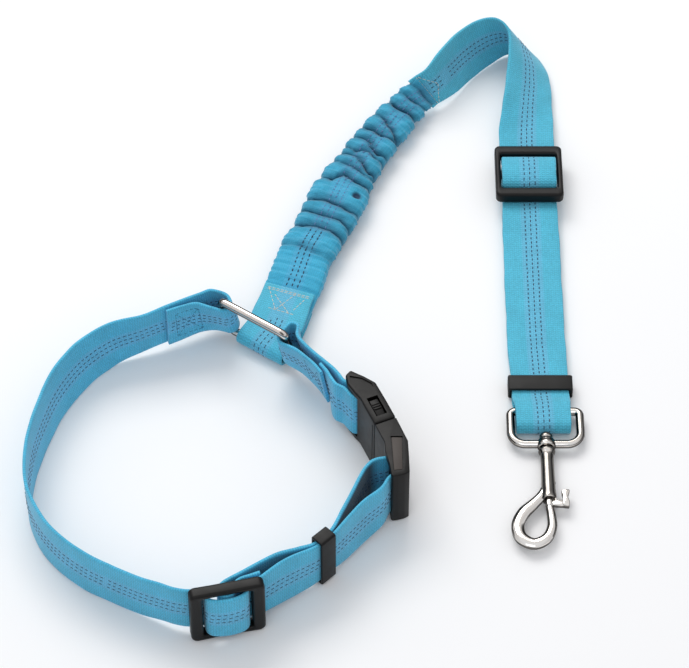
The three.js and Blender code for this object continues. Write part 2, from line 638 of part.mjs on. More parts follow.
function sleeveRings(inner) {
  const column = (start) => sleevePath.map((row) => vector(...row.slice(start, start + 3)));
  const axis = smoothCurve(column(0));
  const acrossCurve = smoothCurve(column(3).map((direction) => direction.normalize()));
  const sizes = smoothCurve(column(6));
  const squared = (value) => Math.sign(value) * Math.abs(value) ** SLEEVE_POWER;
  return range(SLEEVE_STEPS + 1).map((i) => {
    const t = i / SLEEVE_STEPS;
    const middle = axis.getPoint(t);
    const across = acrossCurve.getPoint(t).normalize();
    const up = across.clone().cross(axis.getTangent(t)).normalize();
    const { x: halfWidth, y: halfHeight, z: wall } = sizes.getPoint(t);
    // The flattened ends are not gathered.
    const looseness = THREE.MathUtils.smoothstep(halfHeight, 2.2, 4.4);
    const wave = GATHER_DEPTH * looseness * Math.sin(t * GATHERS * 2 * Math.PI);
    const growth = inner ? -wall : wave;
    const width = halfWidth + growth;
    const height = halfHeight + growth - (inner ? GATHER_DEPTH * looseness : 0);
    return range(SLEEVE_SIDES).map((k) => {
      const angle = ((k + 0.5) / SLEEVE_SIDES) * 2 * Math.PI;
      return middle
        .clone()
        .addScaledVector(across, width * squared(Math.cos(angle)))
        .addScaledVector(up, height * squared(Math.sin(angle)));
    });
  });
}
// Out along the outside and back along the inside gives a tube with open ends.
const sleeve = loft([...sleeveRings(false), ...sleeveRings(true).reverse()], true);
add("bungee_sleeve", sleeve, FABRIC);

// Elastic band inside the sleeve, a little shorter than it.
const BAND_W = 15;
const BAND_T = 1.2;
const bandStations = sleevePath.slice(1, 13).map((row) => [...row.slice(0, 6), BAND_W]);
add("elastic_band", strip(bandStations, BAND_T), RUBBER);

// ---- leash webbing -----------------------------------------------------------------------------
// The twisted turn at the far end, by its two selvedges.
// Columns: x, y, z of the lower selvedge, x, y, z of the upper one.
const leashTurn = [
  [46.0, 137.6, 3.0, 36.4, 139.2, 20.4],
  [52.6, 144.9, 2.0, 42.6, 147.2, 23.6],
  [59.3, 153.6, 1.0, 50.3, 158.6, 23.7],
  [67.0, 161.9, 1.0, 59.6, 166.6, 24.2],
  [76.2, 168.6, 1.2, 69.0, 168.0, 25.2],
  [86.0, 167.6, 1.8, 74.2, 163.8, 23.6],
  [92.4, 157.4, 2.2, 75.2, 154.0, 20.0],
  [94.6, 145.9, 2.4, 74.0, 142.6, 16.2],
  [94.6, 132.6, 2.9, 71.9, 128.6, 12.4],
  [94.8, 117.0, 4.0, 69.9, 115.0, 6.6],
].map((row) => {
  const lower = vector(...row.slice(0, 3));
  const upper = vector(...row.slice(3));
  const across = upper.clone().sub(lower);
  return [...lower.add(upper).divideScalar(2), ...across, across.length()];
});
const FOLD_Y = BAIL.barY - 7.2; // the fold hangs loose past the bail's web bar
const leashStations = [
  [34.6, 134.6, 9.35, -0.64, 0.27, 0.71, 18],
  [37.4, 136.5, 10.4, -0.58, 0.17, 0.8, 18.4],
  ...leashTurn,
  [82.2, 106.5, 4.75, ...FLAT, 24.8],
  ...onLeashGlide(THREAD),
  // upper layer, to the bail
  [82.2, 64.0, 4.7, ...FLAT, 24.6],
  [82.2, 55.0, 4.0, ...FLAT, 25],
  [82.2, 44.0, 3.3, ...FLAT, 25],
  [82.2, 20.0, 3.1, ...FLAT, 25],
  [82.3, -10.0, 3.3, ...FLAT, 25],
  [82.7, -24.0, 4.1, ...FLAT, 24.4],
  [82.9, -32.0, 4.4, ...FLAT, 24.2],
  [82.9, -36.6, 4.38, ...FLAT, 24.2],
  [83.0, -39.5, 4.9, ...FLAT, 24.2],
  [83.2, -42.6, 6.3, ...FLAT, 24.2],
  [83.4, -46.4, 6.98, ...FLAT, 24.2],
  ...arc(FOLD_Y, BAIL.z, TURN_R, 90, 270, 6).map(([y, z]) => [BAIL.x - 0.8, y, z, ...FLAT, 23.6]),
  // lower layer, back to the glide
  [83.4, -46.4, 1.02, ...FLAT, 24.2],
  [83.2, -42.0, 1.5, ...FLAT, 24.2],
  [82.9, -37.0, 2.62, ...FLAT, 24.2],
  [82.9, -27.5, 2.65, ...FLAT, 24.2],
  [82.5, -20.0, 1.5, ...FLAT, 24.6],
  [82.3, -6.0, 1.2, ...FLAT, 24.8],
  [82.2, 20.0, 1.15, ...FLAT, 24.8],
  [82.2, 50.0, 1.2, ...FLAT, 24.6],
  [82.2, 64.0, 1.25, ...FLAT, 24.4],
  ...onLeashGlide(LEASH_SEWN_END),
];
add("leash_webbing", strip(leashStations), FABRIC);

// ---- swivel bolt snap --------------------------------------------------------------------------
const axisAt = (y) => vector(HOOK_X, y, BAIL.z);

// Bail: web bar inside the webbing fold, two arms, and a bottom bar with a collar for the swivel.
const COLLAR_R = 3.7;
const COLLAR_BORE_R = 2.0;
function hookBail() {
  const { x, z, barY, bottomY, half, barCorner, corner } = BAIL;
  const line = [
    ...arc(x + half - barCorner, barY - barCorner, barCorner, 90, 0, 3),
    ...arc(x + half - corner, bottomY + corner, corner, 0, -90, 5),
    ...arc(x - half + corner, bottomY + corner, corner, -90, -180, 5),
    ...arc(x - half + barCorner, barY - barCorner, barCorner, 180, 90, 3),
  ].map((point) => vector(...point, z));
  return toSolid(wire(line, BAR_R, 12, true))
    .add(rod(axisAt(bottomY + 2.1), axisAt(bottomY - 2.3), COLLAR_R, 20))
    .subtract(rod(axisAt(bottomY + 6), axisAt(bottomY - 6), COLLAR_BORE_R, 20));
}
add("hook_bail", toGeometry(hookBail()), CHROME);

// Hook body: swivel head and stud, barrel with a blind bore and a thumb slot, and the curved hook.
// Barrel and swivel profile, columns: radius, y.
const BARREL_PROFILE = [
  [0, BARREL_Y1],
  [BARREL_R + 0.1, BARREL_Y1],
  [BARREL_R, BARREL_Y1 + 6],
  [2.85, BARREL_Y0 - 9],
  [2.85, BARREL_Y0 - 2.6],
  [3.5, BARREL_Y0 - 1.8],
  [3.5, BARREL_Y0 - 0.6],
  [2.7, BARREL_Y0 + 0.3],
  [1.6, BARREL_Y0 + 0.3],
  [1.6, BAIL.bottomY + 2.5],
  [2.9, BAIL.bottomY + 2.5],
  [2.9, BAIL.bottomY + 4.4],
  [1.6, BAIL.bottomY + 5.5],
  [0, BAIL.bottomY + 5.7],
];
// Middle line of the hook, x and y, from inside the barrel to the tip.
const HOOK_LINE = [
  [HOOK_X - 0.9, -84.5], [82.4, -88.0], [80.4, -91.4], [77.6, -94.9],
  [73.4, -99.6], [70.9, -106.0], [72.2, -112.0], [77.3, -115.0],
  [82.4, -112.4], [84.9, -106.8], [84.9, -101.0], [HOOK_X + 0.1, -96.6],
];
const HOOK_STEPS = 40;
const HOOK_R = { root: 1.5, middle: 2.5, tip: 1.65 };
const HOOK_FULL = { from: 0.3, to: 0.55 }; // part of the line that has the middle radius

function hookRadius(t) {
  const { lerp } = THREE.MathUtils;
  if (t < HOOK_FULL.from) return lerp(HOOK_R.root, HOOK_R.middle, t / HOOK_FULL.from);
  const taper = Math.max(0, (t - HOOK_FULL.to) / (1 - HOOK_FULL.to));
  return lerp(HOOK_R.middle, HOOK_R.tip, taper);
}
function hookBody() {
  const barrel = new THREE.LatheGeometry(
    BARREL_PROFILE.map(([radius, y]) => new THREE.Vector2(radius, y)),
    20,
  );
  barrel.translate(HOOK_X, 0, BAIL.z);
  const curve = smoothCurve(HOOK_LINE.map(([x, y]) => vector(x, y, BAIL.z)));
  const steps = range(HOOK_STEPS + 1).map((i) => i / HOOK_STEPS);
  const hook = wire(steps.map((t) => curve.getPoint(t)), steps.map(hookRadius), 12);
  const bore = rod(axisAt(BORE_END_Y), axisAt(BARREL_Y1 - 3.6), BORE_R, 18);
  const thumbSlot = block(
    [HOOK_X, HOOK_X + 6],
    [BARREL_Y1 - 0.5, BARREL_Y1 + 8.6],
    [BAIL.z - 1.4, BAIL.z + 1.4],
  );
  return toSolid(barrel).add(toSolid(hook)).subtract(bore).subtract(thumbSlot);
}
add("hook_body", toGeometry(hookBody()), CHROME);

// Bolt: rod, link out to the side, thumb lever and its knob.
// Columns: x from the axis, y from the bolt's free end, half height.
const BOLT_BLOCKS = [
  [[0.4, 6.4], [0.2, 2.9], 1.05],
  [[5.0, 8.0], [-0.2, 8.0], 1.5],
  [[6.4, 8.6], [6.2, 8.2], 1.5],
];
const bolt = BOLT_BLOCKS.reduce(
  (body, [xSpan, ySpan, half]) =>
    body.add(
      block(
        xSpan.map((x) => HOOK_X + x),
        ySpan.map((y) => BOLT_Y1 + y),
        [BAIL.z - half, BAIL.z + half],
      ),
    ),
  rod(axisAt(BOLT_Y0), axisAt(BOLT_Y1), BOLT_R, 16),
);
add("hook_bolt", toGeometry(bolt), CHROME);

// Spring: a round-wire helix between the bolt and the blind end of the bore.
const COIL = { turns: 7, stepsPerTurn: 12, radius: 1.35, wireR: 0.28, wireSides: 5, endGap: 0.6 };
function boltSpring() {
  const start = BOLT_Y0 + COIL.endGap;
  const end = BORE_END_Y - COIL.endGap;
  const steps = COIL.turns * COIL.stepsPerTurn;
  const points = range(steps + 1).map((i) => {
    const [x, z] = around(HOOK_X, BAIL.z, COIL.radius, (360 * i) / COIL.stepsPerTurn);
    return vector(x, start + ((end - start) * i) / steps, z);
  });
  return wire(points, COIL.wireR, COIL.wireSides);
}
add("bolt_spring", boltSpring(), SPRING);

export default leash;
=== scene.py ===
"""A webbing headrest loop with its buckle, and a leash joined to it by a gathered elastic sleeve.

Sizes are millimetres in the layout frame: x to the right, y away from the camera, z up from the
floor. metres() turns a layout place into the scene's frame. The loop lies on the left with its
webbing on edge. The sleeve runs from the loop's wire ring to the far right, where the leash
begins. The leash comes back down the right side to a swivel bolt snap.
"""
import math

import bmesh
import bpy
import numpy as np
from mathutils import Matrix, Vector


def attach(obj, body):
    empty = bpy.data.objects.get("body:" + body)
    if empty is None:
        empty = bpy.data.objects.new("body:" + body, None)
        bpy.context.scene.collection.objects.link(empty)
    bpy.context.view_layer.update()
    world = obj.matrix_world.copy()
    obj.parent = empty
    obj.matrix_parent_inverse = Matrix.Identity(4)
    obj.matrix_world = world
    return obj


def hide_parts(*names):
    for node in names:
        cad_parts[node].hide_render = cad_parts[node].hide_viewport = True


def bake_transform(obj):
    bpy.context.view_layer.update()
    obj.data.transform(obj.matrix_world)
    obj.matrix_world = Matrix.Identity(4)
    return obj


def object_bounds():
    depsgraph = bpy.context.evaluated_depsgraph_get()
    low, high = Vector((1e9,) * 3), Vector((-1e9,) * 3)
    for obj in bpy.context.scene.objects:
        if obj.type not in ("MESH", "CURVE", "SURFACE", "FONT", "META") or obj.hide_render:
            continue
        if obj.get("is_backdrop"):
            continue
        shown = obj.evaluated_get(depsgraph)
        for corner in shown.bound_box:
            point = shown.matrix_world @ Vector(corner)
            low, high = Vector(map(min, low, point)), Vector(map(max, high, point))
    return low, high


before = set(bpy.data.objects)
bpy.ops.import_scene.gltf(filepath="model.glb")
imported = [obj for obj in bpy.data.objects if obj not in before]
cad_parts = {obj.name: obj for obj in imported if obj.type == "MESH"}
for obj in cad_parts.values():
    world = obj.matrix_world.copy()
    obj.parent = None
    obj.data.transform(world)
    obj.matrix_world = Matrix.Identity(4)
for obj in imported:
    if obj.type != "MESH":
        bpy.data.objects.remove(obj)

cad_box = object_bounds()

# ---- driving sizes and places -----------------------------------------------------------------
ORIGIN = np.array([-15.4, 4.45, 0.19])  # the scene's origin in the layout
UP = (0.0, 0.0, 1.0)
WEB_THICK = 1.4
WEB_WIDTH = 25.0
WIRE_RADIUS = 1.8  # ring, bail and buckle bars
TURN = WIRE_RADIUS + 0.45 + WEB_THICK / 2  # mid-webbing radius round a bar
RING_TURN = TURN + 0.2
PINCH = 20.6  # webbing width inside the ring

RING_LOW = np.array([-34.9, -10.1, 4.0])  # middles of the ring's low and top bars
RING_TOP = np.array([-38.7, -15.6, 29.1])
RING_DIR = np.array([0.8246, -0.5657, 0.0])  # along those bars
RING_OUT = np.array([-RING_DIR[1], RING_DIR[0], 0.0])  # level, away from the loop
RING_HALF = 16.5
RING_UP = RING_TOP - RING_LOW
RING_HEIGHT = np.linalg.norm(RING_UP)
RING_AXIS = tuple(RING_UP / RING_HEIGHT)
RING_MID = (RING_TOP + RING_LOW) / 2

BUCKLE_SEAM = (16.6, -72.0)  # where plug and socket meet
BUCKLE_DIR = (0.397, -0.918)  # from socket to plug
BUCKLE_LOW, BUCKLE_HIGH = 0.3, 30.7
BUCKLE_MID = (BUCKLE_LOW + BUCKLE_HIGH) / 2
PLUG_BAR = (18.0, -4.2)
SOCKET_BAR = (-21.0, -3.4)
GLIDE_DIR = (0.975, 0.2222)
KEEPER_DIR = (0.714, 0.7)

SNAP_X, SNAP_Z = 84.3, 4.0  # the bolt snap's long axis
BAIL_FAR, BAIL_NEAR = -46.0, -63.4  # y of the bail's cross wires
BARREL_FAR, BARREL_NEAR = -66.4, -92.6

LOOP_SPLIT = (-94.9, -140.3, 12.9)  # where the loop passes from one span to the next
KEEPER_RETURN = (-8.93, -127.93, 14.5)  # the returning layer inside the loop keeper


def metres(point):
    return (np.asarray(point, float) - ORIGIN) * 0.001


def unit(vectors):
    vectors = np.asarray(vectors, float)
    return vectors / np.maximum(np.linalg.norm(vectors, axis=-1, keepdims=True), 1e-12)


def frame_at(origin, x_axis, y_axis, z_axis):
    """A function from a piece's own (x, y, z) to the layout."""
    origin, x_axis, y_axis, z_axis = map(np.array, (origin, x_axis, y_axis, z_axis))
    return lambda x, y, z: origin + x * x_axis + y * y_axis + z * z_axis


ALONG_BUCKLE = (*BUCKLE_DIR, 0)
OUT_OF_BUCKLE = (-BUCKLE_DIR[1], BUCKLE_DIR[0], 0)
X_AXIS, TOWARD_CAMERA = (1, 0, 0), (0, -1, 0)
buckle_point = frame_at((*BUCKLE_SEAM, 0), ALONG_BUCKLE, OUT_OF_BUCKLE, UP)
loop_glide_point = frame_at(
    (-46.7, -154.5, 15.2), (*GLIDE_DIR, 0), UP, (GLIDE_DIR[1], -GLIDE_DIR[0], 0))
leash_glide_point = frame_at((82.2, 86.0, 8.0), TOWARD_CAMERA, X_AXIS, UP)
loop_keeper_point = frame_at(
    (-8.3, -128.55, 14.5), UP, (KEEPER_DIR[1], -KEEPER_DIR[0], 0), (*KEEPER_DIR, 0))
leash_keeper_point = frame_at((82.9, -32.0, 3.525), X_AXIS, UP, TOWARD_CAMERA)
layout_point = frame_at((0, 0, 0), X_AXIS, (0, 1, 0), UP)


# ---- curves -----------------------------------------------------------------------------------
def catmull(points, count):
    """Centripetal curve through the points, sampled count times."""
    points = np.asarray(points, float)
    padded = np.vstack([2 * points[0] - points[1], points, 2 * points[-1] - points[-2]])
    place = (len(points) - 1) * np.linspace(0, 1, count)
    i = np.minimum(place.astype(int), len(points) - 2)
    w = (place - i)[:, None]
    p0, p1, p2, p3 = (padded[i + k] for k in range(4))
    gap0, gap1, gap2 = (
        np.sum((end - start) ** 2, axis=1, keepdims=True) ** 0.25
        for start, end in ((p0, p1), (p1, p2), (p2, p3)))
    gap1 = np.where(gap1 > 1e-4, gap1, 1.0)
    gap0 = np.where(gap0 > 1e-4, gap0, gap1)
    gap2 = np.where(gap2 > 1e-4, gap2, gap1)
    slope1 = ((p1 - p0) / gap0 - (p2 - p0) / (gap0 + gap1) + (p2 - p1) / gap1) * gap1
    slope2 = ((p2 - p1) / gap1 - (p3 - p1) / (gap1 + gap2) + (p3 - p2) / gap2) * gap1
    return (p1 + slope1 * w + (-3 * p1 + 3 * p2 - 2 * slope1 - slope2) * w * w
            + (2 * p1 - 2 * p2 + slope1 + slope2) * w**3)


def columns_at(along, known, table):
    """Every column of a table, interpolated from the known lengths."""
    return np.stack([np.interp(along, known, column) for column in table.T], -1)


def even(path, *others, step):
    """Lengths, then the path and the other tables, re-spaced to an even step along the path."""
    gaps = np.linalg.norm(np.diff(path, axis=0), axis=1)
    known = np.concatenate([[0], np.cumsum(gaps)])
    along = np.linspace(0, known[-1], max(2, int(round(known[-1] / step))) + 1)
    return along, *(columns_at(along, known, table) for table in (path, *others))


class Strip:
    """Middle surface of a run of webbing, from stations x, y, z, across x, y, z and width."""

    def __init__(self, stations, step=0.8):
        table = np.array([[*station, WEB_WIDTH][:7] for station in stations], float)
        edge = unit(table[:, 3:6]) * table[:, 6:7] / 2
        count = (len(table) - 1) * 14 + 1
        plus = catmull(table[:, :3] + edge, count)
        minus = catmull(table[:, :3] - edge, count)
        self.along, self.centre, across = even((plus + minus) / 2, plus - minus, step=step)
        self.end = float(self.along[-1])
        self.half = np.linalg.norm(across, axis=1) / 2
        self.across = unit(across)
        self.normal = unit(np.cross(self.across, unit(np.gradient(self.centre, axis=0))))

    def at(self, along, across, off):
        """Places at a length, a distance across and a height off the middle surface."""
        centre, side, normal = (columns_at(along, self.along, table)
                                for table in (self.centre, self.across, self.normal))
        return centre + side * across[..., None] + normal * off[..., None]

    def nearest(self, point, after=0.0):
        """The length at which the strip passes closest to a point."""
        distance = np.linalg.norm(self.centre - np.array(point, float), axis=1)
        return float(self.along[np.argmin(np.where(self.along >= after, distance, np.inf))])


# ---- materials --------------------------------------------------------------------------------
def feed(socket, value):
    """Link a socket, or set its value."""
    if isinstance(value, bpy.types.NodeSocket):
        socket.id_data.links.new(value, socket)
    else:
        socket.default_value = value


def fill_ramp(node, first, last, stops):
    elements = node.color_ramp.elements
    elements[0].color = first
    elements[1].color = last
    for position, color in stops:
        elements.new(position).color = color


class Shader:
    """A new material with short ways to add nodes in front of its Principled BSDF."""

    def __init__(self, name):
        self.mat = bpy.data.materials.new(name)
        self.mat.use_nodes = True
        self.bsdf = self.mat.node_tree.nodes["Principled BSDF"]

    def node(self, kind, **settings):
        node = self.mat.node_tree.nodes.new(kind)
        for key, value in settings.items():
            setattr(node, key, value)
        return node

    def math(self, operation, *values):
        node = self.node("ShaderNodeMath", operation=operation)
        for socket, value in zip(node.inputs, values):
            feed(socket, value)
        return node.outputs[0]

    def scaled(self, value, by, plus):
        return self.math("MULTIPLY_ADD", value, by, plus)

    def object_coords(self):
        return self.node("ShaderNodeTexCoord").outputs["Object"]

    def attribute(self, name):
        return self.node("ShaderNodeAttribute", attribute_name=name).outputs["Fac"]

    def noise(self, vector, scale, detail, rough=0.55):
        node = self.node("ShaderNodeTexNoise")
        for key, value in (("Scale", scale), ("Detail", detail), ("Roughness", rough),
                           ("Vector", vector)):
            feed(node.inputs[key], value)
        return node.outputs["Fac"]

    def map_range(self, value, low, high, to_low, to_high, kind="LINEAR"):
        node = self.node("ShaderNodeMapRange", interpolation_type=kind)
        for socket, number in zip(node.inputs, (value, low, high, to_low, to_high)):
            feed(socket, number)
        return node.outputs[0]

    def mix(self, factor, first, second, blend="MIX"):
        node = self.node("ShaderNodeMix", data_type="RGBA", blend_type=blend)
        for i, value in ((0, factor), (6, first), (7, second)):  # the colour sockets
            feed(node.inputs[i], value)
        return node.outputs[2]

    def shaded(self, color, value):
        """A colour multiplied by a grey value."""
        grey = self.node("ShaderNodeCombineColor")
        for k in range(3):
            feed(grey.inputs[k], value)
        return self.mix(1.0, color, grey.outputs[0], "MULTIPLY")

    def bump(self, height, strength, distance):
        node = self.node("ShaderNodeBump")
        for key, value in (("Strength", strength), ("Distance", distance), ("Height", height)):
            feed(node.inputs[key], value)
        feed(self.bsdf.inputs["Normal"], node.outputs[0])

    def set(self, **values):
        for key, value in values.items():
            feed(self.bsdf.inputs[key.replace("_", " ")], value)


def webbing_material(name, base, centre, folds=False, rib=1.05, warp=0.95, dark=0.72,
                     centre_mix=0.55):
    """Woven nylon: ribs across, warp ends along, a band of another tint and uneven dye, with painted shade
    where the pocket attribute says and, with folds, painted shade in the creases.

    rib and warp are pitches in mm; dark is the shade between the threads.
    """
    m = Shader(name)
    uv = m.node("ShaderNodeUVMap").outputs[0]
    split = m.node("ShaderNodeSeparateXYZ")
    feed(split.inputs[0], uv)
    along, across = split.outputs[0], split.outputs[1]
    fine = m.noise(uv, scale=0.9, detail=4)
    broad = m.noise(uv, scale=0.12, detail=3)

    # height of the weave: ribs stagger from one warp end to the next and wobble a little
    wobble = m.math("MULTIPLY", m.math("SUBTRACT", fine, 0.5), 1.6)
    stagger = m.math("MULTIPLY", m.math("SINE", m.math("MULTIPLY", across, math.pi / warp)), 1.1)
    phase = m.math("ADD", m.math("MULTIPLY", along, 2 * math.pi / rib), stagger)
    ribs = m.scaled(m.math("SINE", m.math("ADD", phase, wobble)), by=0.5, plus=0.5)
    warps = m.math("ABSOLUTE", m.math("SINE", m.math("MULTIPLY", across, math.pi / warp)))
    height = m.math("ADD", m.math("MULTIPLY", ribs, 0.65), m.math("MULTIPLY", warps, 0.35))

    band = m.map_range(m.math("ABSOLUTE", across), low=3.6000000000000005, high=5.0,
                       to_low=centre_mix, to_high=0.0, kind="SMOOTHSTEP")
    color = m.mix(band, base, centre)
    shade = m.scaled(height, by=1.0 - dark, plus=dark)
    shade = m.math("MULTIPLY", shade, m.scaled(broad, by=0.34, plus=0.86))
    shade = m.math("MULTIPLY", shade, m.scaled(fine, by=0.5, plus=0.79))
    mottle = m.noise(uv, scale=0.35, detail=3)
    dye = (*(c * k for c, k in zip(centre, (0.6, 1.12, 1.12))), 1)
    color = m.shaded(m.mix(m.math("MULTIPLY", mottle, 0.45), color, dye), shade)
    # painted shade colours: the pocket mask darkens the loop's returning layer behind its outer layer
    painted_pocket_color, painted_crease_color = (0.004, 0.035, 0.06, 1), (0.003, 0.035, 0.085, 1)
    color = m.mix(m.attribute("painted_pocket_shade"), color, painted_pocket_color)
    # painted shade: the sleeve's creases and dimple are darkened by the painted_crease_shade attribute
    if folds:
        depth = m.math("POWER", m.attribute("painted_crease_shade"), 0.7)
        color = m.mix(depth, color, painted_crease_color)
    m.set(Base_Color=color, Roughness=0.72, Specular_IOR_Level=0.35, Sheen_Weight=0.25,
          Sheen_Roughness=0.45)
    m.bump(m.math("ADD", height, m.math("MULTIPLY", fine, 0.5)), strength=0.75, distance=0.00016)
    return m.mat


WEB = webbing_material(
    "webbing_weave", base=(0.072, 0.465, 0.625, 1), centre=(0.16, 0.45, 0.67, 1))
# painted light: the loop's copy of the webbing is bluer, standing in for the bluish fill on its upright
# faces
LOOP_WEB_LIT = webbing_material(
    "webbing_weave_loop_lit", base=(0.075, 0.485, 0.715, 1), centre=(0.17, 0.47, 0.74, 1))
GATHER = webbing_material(
    "gathered_weave", base=(0.04, 0.41, 0.62, 1), centre=(0.11, 0.42, 0.68, 1),
    folds=True, rib=0.9, warp=0.9, dark=0.70, centre_mix=0.4)
ELASTIC = webbing_material(
    "elastic_weave", base=(0.78, 0.74, 0.66, 1), centre=(0.70, 0.66, 0.58, 1), rib=0.7, warp=1.1)


def thread_material(name, color):
    """Sewing thread with uneven shade and a fine nap."""
    m = Shader(name)
    coords = m.object_coords()
    shade = m.scaled(m.noise(coords, scale=900, detail=3), by=0.5, plus=0.75)
    m.set(Base_Color=m.shaded(color, shade), Roughness=0.6)
    m.bump(m.noise(coords, scale=3500, detail=2), strength=0.5, distance=0.00005)
    return m.mat


DARK_THREAD = thread_material("thread_dark", (0.022, 0.055, 0.105, 1))
LIGHT_THREAD = thread_material("thread_light", (0.62, 0.60, 0.52, 1))
BLUE_THREAD = thread_material("thread_blue", (0.03, 0.17, 0.30, 1))
LILAC_THREAD = thread_material("thread_lilac", (0.12, 0.22, 0.45, 1))


def plastic_material(name, base, rough):
    """Moulded plastic: fine grain, faint flow marks, paler rubbed edges."""
    m = Shader(name)
    coords = m.object_coords()
    grain = m.noise(coords, scale=2600, detail=2)
    flow = m.noise(coords, scale=120, detail=4)
    edge = m.map_range(m.node("ShaderNodeNewGeometry").outputs["Pointiness"],
                       low=0.52, high=0.60, to_low=0.0, to_high=0.35)
    worn = (*(min(1.0, c * 3.0 + 0.008) for c in base[:3]), 1)
    color = m.shaded(m.mix(edge, base, worn), m.scaled(flow, by=0.5, plus=0.75))
    m.set(Base_Color=color, Roughness=m.scaled(flow, by=0.22, plus=rough - 0.1),
          Specular_IOR_Level=0.24)
    m.bump(grain, strength=0.35, distance=0.00006)
    return m.mat


PLASTIC = plastic_material("plastic_black", (0.0034, 0.0031, 0.0028, 1), rough=0.40)
PANEL = plastic_material("plastic_panel", (0.045, 0.038, 0.034, 1), rough=0.5)


def metal_material(name, base, painted_flank, rough=0.10, middle=1.0):
    """Plated metal with slight orange peel and scuffs, and a painted reflection over the facing.

    middle is the painted brightness facing the camera; flank lists (facing, painted brightness) outwards,
    a painted reflection of dark surroundings.
    """
    m = Shader(name)
    coords = m.object_coords()
    peel = m.noise(coords, scale=260, detail=3)
    scuff = m.noise(coords, scale=1400, detail=5, rough=0.7)
    # painted reflection: a ramp over the facing darkens the base colour, standing in for dark surroundings
    facing = m.node("ShaderNodeLayerWeight")
    facing.inputs["Blend"].default_value = 0.5
    ramp = m.node("ShaderNodeValToRGB")
    fill_ramp(ramp, first=(middle, middle, middle, 1), last=(0.42, 0.40, 0.38, 1),
              stops=[(position, (c, c * 0.95, c * 0.9, 1)) for position, c in painted_flank])
    feed(ramp.inputs[0], facing.outputs["Facing"])
    plate = m.mix(peel, base, (*(c * 0.9 for c in base[:3]), 1))
    m.set(Base_Color=m.mix(1.0, plate, ramp.outputs[0], "MULTIPLY"), Metallic=1.0,
          Roughness=m.scaled(scuff, by=0.12, plus=rough - 0.04))
    m.bump(peel, strength=0.15, distance=0.00025)
    return m.mat


NICKEL = (0.90, 0.885, 0.86, 1)
# painted reflections, as ramps of brightness over the facing, for the chrome and the spring steel
FLAT_PAINTED_FLANK = ((0.29, 1.0), (0.36, 0.25), (0.55, 0.05), (0.80, 0.10))
CHROME = metal_material("chrome_plate", NICKEL, FLAT_PAINTED_FLANK)
ROUND_CHROME = metal_material(
    "chrome_round", NICKEL, ((0.07, 1.0), (0.15, 0.42), (0.34, 0.09), (0.62, 0.14), (0.85, 0.5)))
WIRE_CHROME = metal_material(
    "chrome_wire", NICKEL, ((0.13, 1.0), (0.22, 0.45), (0.42, 0.06), (0.78, 0.12)))
# the ring's painted reflection: dark facing the camera, bright bands beside, dark towards the rim
RING_CHROME = metal_material(
    "chrome_ring", (0.92, 0.89, 0.87, 1),
    ((0.015, 0.12), (0.05, 0.9), (0.24, 1.0), (0.36, 0.30), (0.60, 0.06)), middle=0.08)
STEEL = metal_material("spring_steel", (0.5, 0.5, 0.5, 1), FLAT_PAINTED_FLANK, rough=0.3)


# ---- mesh helpers -----------------------------------------------------------------------------
def link_object(name, data):
    made = bpy.data.objects.new(name, data)
    bpy.context.scene.collection.objects.link(made)
    return made


def build(name, verts, faces, mat, uv=None, sharp=None):
    """A smooth-shaded object from layout vertices; edges beyond the sharp angle stay hard."""
    mesh = bpy.data.meshes.new(name)
    mesh.from_pydata(metres(verts).tolist(), [], faces)
    mesh.validate()
    mesh.update()
    bm = bmesh.new()
    bm.from_mesh(mesh)
    bmesh.ops.recalc_face_normals(bm, faces=bm.faces)
    bm.to_mesh(mesh)
    bm.free()
    if uv is not None:
        layer = mesh.uv_layers.new(name="UVMap")
        index = np.zeros(len(mesh.loops), np.int32)
        mesh.loops.foreach_get("vertex_index", index)
        layer.data.foreach_set("uv", np.asarray(uv, np.float32)[index].ravel())
    mesh.polygons.foreach_set("use_smooth", [True] * len(mesh.polygons))
    if sharp:
        mesh.set_sharp_from_angle(angle=math.radians(sharp))
    mesh.materials.append(mat)
    return link_object(name, mesh)


def add_attribute(piece, name, values):
    layer = piece.data.attributes.new(name, "FLOAT", "POINT")
    layer.data.foreach_set("value", values.ravel().astype(np.float32))


def tube_mesh(name, rings, mat, closed=False, uv=None, sharp=None):
    """A skin over rings of points, capped at both ends unless it closes on itself."""
    rings = np.asarray(rings, float)
    rows, cols = rings.shape[:2]
    faces = []
    for i in range(rows if closed else rows - 1):
        here, there = i * cols, (i + 1) % rows * cols
        for j in range(cols):
            k = (j + 1) % cols
            faces.append((here + j, here + k, there + k, there + j))
    if not closed:
        faces.append(tuple(range(cols)))
        faces.append(tuple(reversed(range((rows - 1) * cols, rows * cols))))
    return build(name, rings.reshape(-1, 3), faces, mat, uv=uv, sharp=sharp)


